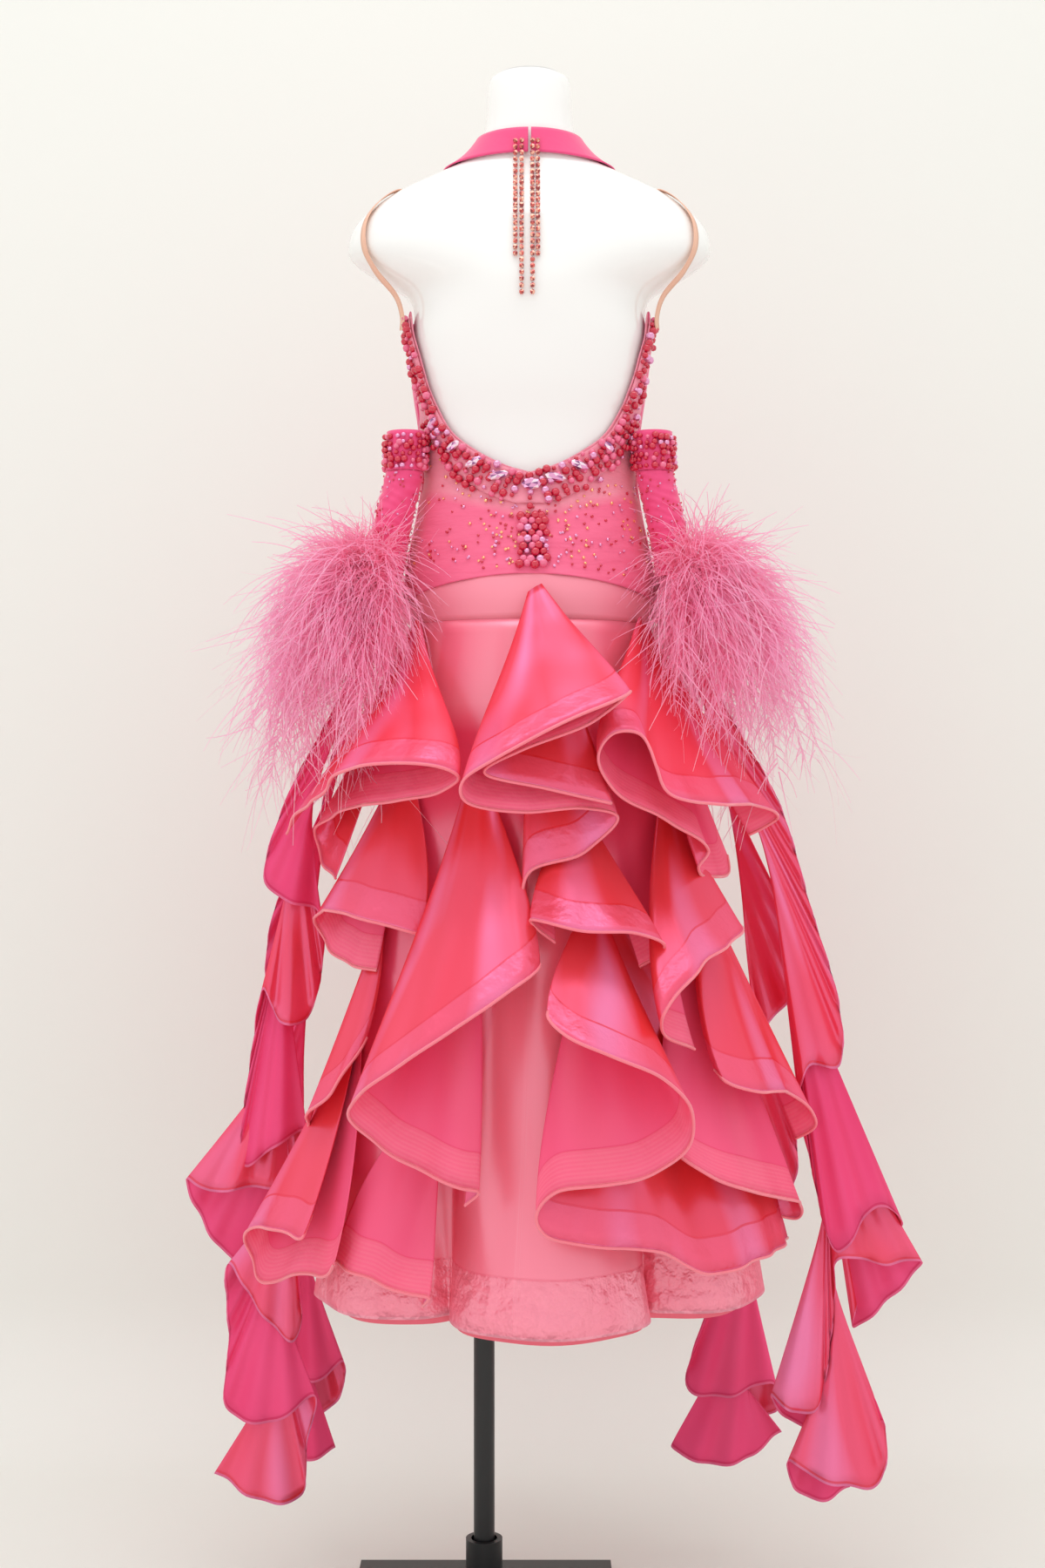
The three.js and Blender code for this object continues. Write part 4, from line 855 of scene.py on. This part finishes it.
# Each flounce: the point its strip hangs from (turn, height), then its hem row by row as
# turn, height and lift, from its right end to its left.
FLOUNCES = {
    "back_centre": ((2, 1176), [
     (19, 925, 82), (4, 940, 90), (-10, 957, 104), (-2, 979, 114), (14, 1009, 115), (23, 1040, 117),
     (21, 1036, 131), (7, 1008, 138), (-7, 970, 130), (-14, 948, 114), (-14, 926, 92), (-2, 916, 76),
     (13, 920, 66), (23, 910, 54), (14, 874, 44), (0, 855, 46), (-2, 830, 36), (-1, 802, 20),
    ]),
    "left_high": ((-72, 1146), [
     (-66, 841, 44), (-78, 860, 52), (-79, 885, 66), (-60, 915, 62), (-33, 928, 76), (-21, 937, 86),
     (-16, 951, 98), (-20, 963, 116), (-32, 966, 124), (-46, 956, 114), (-57, 932, 98), (-72, 910, 96),
     (-78, 889, 100),
    ]),
    "right_high": ((70, 1146), [
     (76, 888, 70), (76, 907, 110), (67, 921, 98), (43, 924, 110), (30, 934, 118), (27, 963, 118),
     (25, 996, 114), (19, 997, 106), (16, 974, 94), (20, 938, 82), (31, 913, 78), (43, 889, 73),
     (51, 872, 63), (48, 857, 52), (52, 848, 43), (64, 843, 38), (78, 846, 38), (80, 865, 42),
    ]),
    "left_second": ((-56, 985), [
     (-30, 786, 18), (-37, 795, 42), (-51, 807, 60), (-64, 806, 56), (-75, 784, 44), (-70, 763, 30),
     (-57, 749, 22), (-47, 745, 14),
    ]),
    "centre_second": ((-22, 985), [
     (-10, 783, 26), (-2, 769, 44), (2, 762, 66), (-4, 738, 90), (-14, 699, 106), (-25, 654, 112),
     (-32, 624, 100), (-34, 605, 84), (-30, 582, 70), (-21, 558, 60), (-13, 541, 52), (-10, 535, 40),
     (-13, 520, 28),
    ]),
    "middle_second": ((16, 935), [
     (28, 754, 30), (31, 764, 44), (31, 778, 60), (22, 793, 76), (11, 796, 82), (3, 805, 72),
     (0, 806, 60), (2, 795, 48), (6, 782, 36),
    ]),
    "right_second": ((60, 955), [
     (62, 802, 40), (61, 792, 60), (39, 761, 80), (31, 736, 86), (26, 708, 80), (29, 686, 62),
     (39, 668, 46),
    ]),
    "right_third": ((22, 840), [
     (76, 440, 36), (52, 444, 42), (35, 444, 42), (25, 472, 40), (13, 483, 46), (3, 496, 50),
     (1, 517, 56), (5, 542, 64), (14, 547, 70), (23, 558, 76), (29, 584, 84), (29, 610, 96),
     (23, 650, 112), (13, 678, 120), (6, 697, 112), (3, 715, 96), (5, 728, 74),
    ]),
    "right_inside": ((66, 810), [
     (31, 581, 34), (31, 564, 48), (39, 536, 58), (51, 514, 58), (72, 481, 61), (76, 462, 47),
     (75, 465, 32),
    ]),
    "right_side": ((76, 895), [
     (78, 549, 60), (75, 570, 91), (69, 605, 74), (48, 624, 78), (42, 637, 66), (43, 646, 50),
    ]),
    "left_strip": ((-54, 810), [
     (-45, 676, 18), (-45, 658, 32), (-48, 620, 46), (-57, 589, 46), (-62, 574, 32),
    ]),
    "left_third": ((-58, 710), [
     (-51, 490, 40), (-48, 471, 56), (-56, 472, 62), (-66, 464, 72), (-70, 443, 70), (-70, 423, 60),
     (-66, 405, 50), (-55, 424, 32), (-44, 433, 34), (-41, 448, 42),
    ]),
    "left_low": ((-34, 612), [
     (-47, 444, 16), (-40, 440, 22), (-31, 437, 30), (-23, 431, 36), (-19, 430, 34), (-21, 417, 20),
    ]),
}

# The front's flounces: cut like which back one, turned, raised, and mirrored (-1) or not.
FRONT_FLOUNCES = {
    "front_centre": ("back_centre", 180, 0, 1),
    "front_left_high": ("left_strip", -88, 260, 1),
    "front_right_high": ("left_strip", 88, 260, -1),
    "front_centre_second": ("centre_second", 180, 0, 1),
    "front_middle_second": ("middle_second", 180, 0, 1),
    "front_left_second": ("left_strip", -88, 70, 1),
    "front_right_second": ("left_strip", 85, 20, -1),
    "front_left_third": ("left_third", -95, 50, 1),
    "front_right_low": ("left_low", 180, -30, 1),
}
# A flounce's first row, as a share of its depth, and how soon it widens below its top.
FIRST_ROW = 0.1
FULLNESS = 1.8
HEM_SAMPLES, FLOUNCE_ROWS = 12, 20
RIPPLE = {"depth": 2.2, "pitch": 62}


def flounce(name, top, hem):
    """A strip that hangs from a point and ends in a curling hem, with its piping."""
    curve = through(hem, HEM_SAMPLES, stretch=np.array([4.0, 1.0, 1.0]))
    turn_hem, z_hem, lift_hem = curve.T
    v = np.linspace(FIRST_ROW, 1, FLOUNCE_ROWS)[:, None]
    sunk = lift_hem.min() * FIRST_ROW**1.2
    turn = mix(top[0], turn_hem[None, :], 1 - (1 - v)**FULLNESS)
    z = mix(top[1], z_hem[None, :], v)
    seat = -skirt_dip(turn, z) + np.where(z > YOKE_BOTTOM - 6, 2.4, 1.4) - sunk
    lift = seat * (1 - v) / (1 - FIRST_ROW) + lift_hem[None, :] * v**1.2
    along = distance_along(on_gown(turn_hem, z_hem, lift_hem))
    wave = np.sin(along[None, :] * math.tau / RIPPLE["pitch"] + top[0])
    lift = lift + RIPPLE["depth"] * v**3 * wave
    grid = on_gown(turn, z, lift)
    cloth(f"{name}_satin", grid, [MATTE, SATIN], 1.0, node=f"flounce_{name}")
    cord_round(f"{name}_piping", grid[-1], 1.7, PIPING)


def flounces():
    for name, (top, hem) in FLOUNCES.items():
        flounce(name, top, hem)
    for name, (like, turn, rise, side) in FRONT_FLOUNCES.items():
        (top_turn, top_z), hem = FLOUNCES[like]
        moved = [(side * t + turn, z + rise, lift) for t, z, lift in hem]
        flounce(name, (side * top_turn + turn, top_z + rise), moved)


# ---------------- armlets

# height and x of the left armlet's middle
ARMLET = np.array([(1165, -115), (1178, -112.5), (1242, -101), (1296, -88.9), (1341, -86.9)], float)
ARMLET_OUT = 44.0
CUFF = {"top": 1341, "bottom": 1296.3, "radius": 21.3, "beads": (6, 18)}
SLEEVE = {"top": 1295.7, "bottom": 1178, "radius": 21.0, "stones": 190}


def arm_x(side, z):
    x = smooth(ARMLET, 1, z)
    return x if side < 0 else 2 * AXIS_X - x


def arm_point(side, angle, z, radius):
    a = np.radians(angle)
    x = arm_x(side, z) + radius * np.sin(a)
    y = -ARMLET_OUT - radius * np.cos(a)
    x, y, z = np.broadcast_arrays(x, y, z)
    return np.stack([x, y, z], axis=-1)


def armlets():
    for side, name in ((-1, "left"), (1, "right")):
        angle = np.arange(60)[None, :] * 6.0
        z = np.linspace(CUFF["top"], CUFF["bottom"], 12)[:, None]
        cloth(f"cuff_{name}_cloth", arm_point(side, angle, z, CUFF["radius"]), [BODICE],
              closed=True, node=f"cuff_{name}")
        z = np.linspace(SLEEVE["top"], SLEEVE["bottom"], 70)[:, None]
        bend = 3.4 * np.sin(np.radians(angle)) + 2.0 * np.sin(np.radians(angle * 2) + z * 0.05)
        gather = 0.45 * np.sin(z * 0.62 + bend) + 0.35 * np.sin(z * 0.31 - bend)
        tube_wall = arm_point(side, angle, z, SLEEVE["radius"] + gather)
        cloth(f"sleeve_{name}_cloth", tube_wall, [BODICE], 1.0, closed=True,
              node=f"sleeve_{name}")
        cuff_beads(side, name)
        plumage(side, name)


def cuff_beads(side, name):
    rows, columns = CUFF["beads"]
    angle, z = np.meshgrid(np.arange(columns) * 360 / columns, np.linspace(1301, 1334, rows))
    angle = (angle + RNG.uniform(-6, 6, angle.shape)).ravel()
    z = (z + RNG.uniform(-1.6, 1.6, z.shape)).ravel()
    centres = arm_point(side, angle, z, 23.8)
    normals = centres - arm_point(side, angle, z, 0.0)
    size = RNG.choice([2.8, 3.6, 4.3], len(z), p=[0.3, 0.35, 0.35])
    kinds = RNG.choice(3, len(z), p=[0.55, 0.2, 0.25])
    scatter(f"cuff_{name}_beads", centres, normals, size[:, None], PEARLS, kinds=kinds)
    count = SLEEVE["stones"]
    angle, z = RNG.uniform(0, 360, count), RNG.uniform(1185, 1294, count)
    centres = arm_point(side, angle, z, 22.6)
    normals = centres - arm_point(side, angle, z, 0.0)
    scatter(f"sleeve_{name}_stones", centres, normals, (1.4, 1.4, 1.0), [PEARL_RED, CRYSTAL],
            shape=GEM, kinds=RNG.choice([0, 1], count))


FEATHER_BAND = {"bottom": 1168, "top": 1175, "radius": 22.75}
PLUMES = {"count": 110, "barbs": 56, "steps": 8, "spread": 100, "high": 92, "low": -50, "length": 222}
QUILL = {"points": 12, "width": 1.4, "slow": 0.35, "droop": 0.75}
BARB = {"width": 1.5, "at_root": 74, "at_tip": 50, "slow": 0.35, "curl": 0.34, "droop": 0.5}


def plumage(side, name):
    """Ostrich plumes: each is a drooping quill with long loose barbs on both sides."""
    strands = []
    for _ in range(PLUMES["count"]):
        azimuth = RNG.uniform(-PLUMES["spread"], PLUMES["spread"])
        rise = mix(PLUMES["low"], PLUMES["high"], RNG.random() ** 0.9)
        back = max(0.0, math.sin(math.radians(azimuth))) * max(0.0, math.cos(math.radians(rise)))
        length = PLUMES["length"] * RNG.uniform(0.62, 1.0) * (1 - 0.3 * back)
        strands += plume(side, azimuth, rise, length)
    points, faces, uv = ribbons(strands)
    attach(new_object(f"feathers_{name}_barbs", points, faces, [FEATHER], uv), f"feathers_{name}")


def plume(side, azimuth, rise, length):
    a, e = math.radians(azimuth), math.radians(rise)
    direction = np.array([side * math.cos(e) * math.cos(a), -math.cos(e) * math.sin(a), math.sin(e)])
    foot = mix(FEATHER_BAND["bottom"], FEATHER_BAND["top"], RNG.random())
    root = arm_point(side, side * (90 - azimuth), foot, FEATHER_BAND["radius"])
    t = steps(QUILL["points"])
    sink = np.array([0, 0, QUILL["droop"]]) * length * t**2
    quill = root + direction * length * t * (1 - QUILL["slow"] * t) - sink
    tangent = unit(np.gradient(quill, axis=0))
    strands = [(quill, QUILL["width"], 0.0)]
    count, last = PLUMES["barbs"], QUILL["points"] - 1
    w = steps(PLUMES["steps"])
    for k in range(count):
        s = mix(0.12, 1.0, k / count) * last
        i = min(int(s), last - 1)
        start = mix(quill[i], quill[i + 1], s - i)
        along = mix(tangent[i], tangent[i + 1], s - i)
        sideways = unit(np.cross(along, RNG.normal(0, 1, 3)))
        reach_mm = mix(BARB["at_root"], BARB["at_tip"], k / count) * RNG.uniform(0.5, 1.2)
        curl = RNG.normal(0, BARB["curl"], 3) - np.array([0, 0, BARB["droop"]])
        path = (start + sideways * reach_mm * w * (1 - BARB["slow"] * w) + along * reach_mm * 0.75 * w
                + curl * reach_mm * w**2)
        strands.append((path, BARB["width"], s / last * length * 0.7))
    return strands


def ribbons(strands):
    """Thin flat ribbons along paths. UV's second number falls from the root to the tip."""
    points, faces, uv = [], [], []
    for path, width, start in strands:
        n = len(path)
        across = unit(np.cross(np.gradient(path, axis=0), RNG.normal(0, 1, 3)))
        taper = np.linspace(1, 0.35, n)[:, None] * width / 2
        base = len(points)
        reach_mm = start + np.linspace(0, 1, n) * np.linalg.norm(path[-1] - path[0])
        for k in range(n):
            points.append(path[k] - across[k] * taper[k])
            points.append(path[k] + across[k] * taper[k])
            uv += [(0, BARB_SPAN - min(reach_mm[k], BARB_SPAN - 5))] * 2
            if k:
                a = base + 2 * k
                faces.append((a - 2, a - 1, a + 1, a))
    return np.array(points), faces, np.array(uv, float)


# ---------------- floats

# The line each float hangs from (x, z, out) and its hem (x, z, out, height on the line).
FLOATS = {
    "left_outer": ([
     (-112, 1164, 22), (-129, 1084, 25), (-208, 915, 30), (-223, 797, 30), (-223, 649, 30),
     (-223, 520, 30), (-231, 402, 28), (-238, 302, 25), (-243, 242, 22),
    ], [
     (-124, 1164, 22, 1164), (-162, 1050, 20, 1140), (-226, 925, 24, 1100), (-247, 835, 40, 1043),
     (-217, 812, 58, 974), (-187, 802, 48, 940), (-181, 757, 30, 915), (-200, 679, 52, 886),
     (-227, 678, 60, 857), (-247, 714, 48, 837), (-262, 649, 30, 807), (-270, 515, 45, 788),
     (-233, 539, 66, 760), (-200, 555, 56, 730), (-208, 491, 30, 698), (-266, 490, 46, 680),
     (-307, 484, 40, 660), (-339, 495, 22, 638), (-323, 444, 4, 616), (-299, 410, 8, 586),
     (-223, 375, 26, 559), (-207, 351, 24, 539), (-215, 316, 40, 522), (-250, 350, 50, 505),
     (-289, 402, 38, 483), (-291, 310, 18, 449), (-289, 237, 38, 424), (-236, 228, 54, 398),
     (-190, 253, 38, 365), (-202, 191, 18, 330), (-206, 139, 34, 304), (-248, 138, 50, 289),
     (-304, 167, 36, 266),
    ]),
    "right_outer": ([
     (216, 1164, 22), (229, 1084, 25), (303, 915, 26), (341, 787, 26), (372, 649, 28), (386, 550, 30),
     (391, 422, 32), (397, 304, 32), (394, 224, 30),
    ], [
     (228, 1164, 22, 1164), (266, 1050, 20, 1140), (336, 925, 18, 1090), (374, 800, 18, 1000),
     (404, 690, 30, 930), (400, 628, 50, 886), (365, 629, 64, 857), (355, 593, 50, 837),
     (368, 522, 40, 817), (395, 423, 76, 790), (439, 472, 62, 760), (474, 447, 34, 728),
     (445, 396, 6, 696), (424, 320, 0, 665), (458, 351, 12, 637), (497, 403, 28, 609),
     (453, 404, 48, 583), (399, 412, 56, 555), (396, 355, 40, 522), (372, 241, 52, 505),
     (346, 241, 58, 487), (325, 255, 44, 464), (346, 221, 20, 439), (431, 201, 16, 409),
     (453, 222, 28, 382), (447, 160, 50, 368), (407, 160, 66, 352), (370, 169, 62, 332),
     (344, 183, 44, 307), (354, 143, 26, 282), (381, 133, 32, 264), (417, 145, 22, 242),
    ]),
    "left_inner": ([
     (-128, 1164, 25), (-150, 1040, -30), (-188, 900, -90), (-213, 700, -116), (-222, 520, -128),
     (-221, 417, -132), (-216, 230, -136),
    ], [
     (-134, 1164, 32, 1164), (-176, 1000, -58, 1090), (-214, 860, -104, 1010), (-250, 800, -84, 930),
     (-262, 690, -110, 840), (-232, 640, -136, 760), (-262, 560, -112, 690), (-270, 460, -132, 620),
     (-226, 400, -148, 560), (-240, 330, -122, 490), (-258, 250, -130, 450), (-220, 223, -126, 417),
     (-196, 227, -122, 398), (-173, 246, -130, 375), (-182, 190, -152, 339), (-227, 158, -152, 307),
     (-231, 124, -136, 289), (-207, 128, -126, 265), (-183, 140, -130, 241),
    ]),
    "right_inner": ([
     (232, 1164, 25), (254, 1040, -30), (292, 900, -90), (317, 700, -116), (322, 520, -128),
     (318, 417, -132), (312, 214, -136),
    ], [
     (238, 1164, 32, 1164), (280, 1000, -58, 1090), (318, 860, -104, 1010), (354, 800, -84, 930),
     (366, 690, -110, 840), (336, 640, -136, 760), (366, 560, -112, 690), (374, 460, -132, 620),
     (330, 400, -148, 560), (268, 300, -134, 470), (244, 212, -130, 417), (291, 205, -120, 399),
     (346, 220, -128, 375), (353, 179, -148, 349), (247, 156, -156, 316), (225, 138, -142, 299),
     (275, 121, -124, 282), (319, 127, -132, 257), (333, 134, -144, 233), (359, 158, -138, 218),
    ]),
}
FLOAT_START = 0.03
FLOAT_SAMPLES, FLOAT_ROWS = 12, 14
PLEAT = {"depth": 5, "pitch": 46}


def floats():
    for name, (line, hem) in FLOATS.items():
        line = np.array(line[::-1], float)[:, [1, 0, 2]]
        curve = through([row[:3] for row in hem], FLOAT_SAMPLES)
        at = np.arange(len(curve)) / FLOAT_SAMPLES
        starts = np.interp(at, np.arange(len(hem)), [row[3] for row in hem])
        start = np.stack([smooth(line, 1, starts), -smooth(line, 2, starts), starts], axis=-1)
        end = np.stack([curve[:, 0], -curve[:, 2], curve[:, 1]], axis=-1)
        v = steps(FLOAT_ROWS)
        share = mix(FLOAT_START, 1, v)[..., None]
        grid = start[None] * (1 - share) + end[None] * share
        wave = np.sin(distance_along(end)[None, :] * math.tau / PLEAT["pitch"])
        grid[..., 1] += PLEAT["depth"] * v**1.5 * wave
        cloth(f"float_{name}_cloth", grid, [FLOAT_IN, FLOAT_OUT], 1.0, node=f"float_{name}")


# ---------------- stage

BACKDROP = {"half": 4.0, "back": 0.65, "bend": 0.2, "bend_steps": 12, "top": 4.0, "below": 0.0002}
WORLD = {"colour": (1, 0.99, 0.98, 1), "strength": 0.95}
CAMERA = {"lens": 47, "sensor": 36, "place": (0.044, -2.35, 0.945)}
# name, place, aim, size and power
LAMPS = [
    ("key", (-1.5, -2.5, 2.0), (0.05, 0, 0.9), (0.7, 0.9), 110),
    ("fill", (2.0, -2.4, 1.3), (0.05, 0, 0.8), (1.0, 1.6), 40),
    ("wall", (0.0, -0.3, 3.4), (0.05, 1.0, 0.5), (3.0, 0.8), 10),
    ("top", (0.0, -0.9, 3.4), (0.05, 0, 0.9), (1.6, 1.2), 12),
]


def lamp(name, place, aim, size, power):
    data = bpy.data.lights.new(name, "AREA")
    data.shape = "RECTANGLE"
    data.size, data.size_y = size
    data.energy = power
    obj = link(name, data)
    obj.location = place
    x, y, z = np.subtract(aim, place)
    obj.rotation_euler = (math.atan2(math.hypot(x, y), -z), 0, math.atan2(x, -y))


def backdrop_material():
    """A pale paint that shows on the front alone, so that the gown can be seen from all sides."""
    n = Nodes("pale_backdrop")
    paint = n.set(n.add("ShaderNodeBsdfDiffuse"), Color=rgb(240, 241, 236))
    clear = n.add("ShaderNodeBsdfTransparent")
    return n.finish(n.blend(n.add("ShaderNodeNewGeometry").outputs["Backfacing"], paint, clear))


def backdrop():
    """A floor that bends up into a wall behind the gown."""
    bend, back, half = BACKDROP["bend"], BACKDROP["back"], BACKDROP["half"]
    profile = [(-half, 0.0), (back - bend, 0.0)]
    for k in range(1, BACKDROP["bend_steps"] + 1):
        a = math.pi / 2 * k / BACKDROP["bend_steps"]
        profile.append((back - bend + bend * math.sin(a), bend - bend * math.cos(a)))
    profile.append((back, BACKDROP["top"]))
    grid = np.array([[(x, y, z - BACKDROP["below"]) for x in (half, -half)] for y, z in profile]) / MM
    faces = grid_faces(len(profile), 2)
    new_object("floor", grid.reshape(-1, 3), faces, [backdrop_material()])


def stage():
    backdrop()
    world = bpy.data.worlds.new("studio")
    bpy.context.scene.world = world
    world.use_nodes = True
    background = world.node_tree.nodes["Background"]
    background.inputs[0].default_value = WORLD["colour"]
    background.inputs[1].default_value = WORLD["strength"]
    for settings in LAMPS:
        lamp(*settings)
    camera = bpy.data.cameras.new("camera")
    camera.lens = CAMERA["lens"]
    camera.sensor_width = CAMERA["sensor"]
    obj = link("camera", camera)
    obj.location = CAMERA["place"]
    obj.rotation_euler = (math.pi / 2, 0, 0)
    bpy.context.scene.camera = obj
    bpy.context.scene.view_settings.view_transform = "Standard"


stand()
form()
bodice()
straps()
bead_band()
bead_cluster()
stone_chains()
skirts()
flounces()
armlets()
floats()
stage()
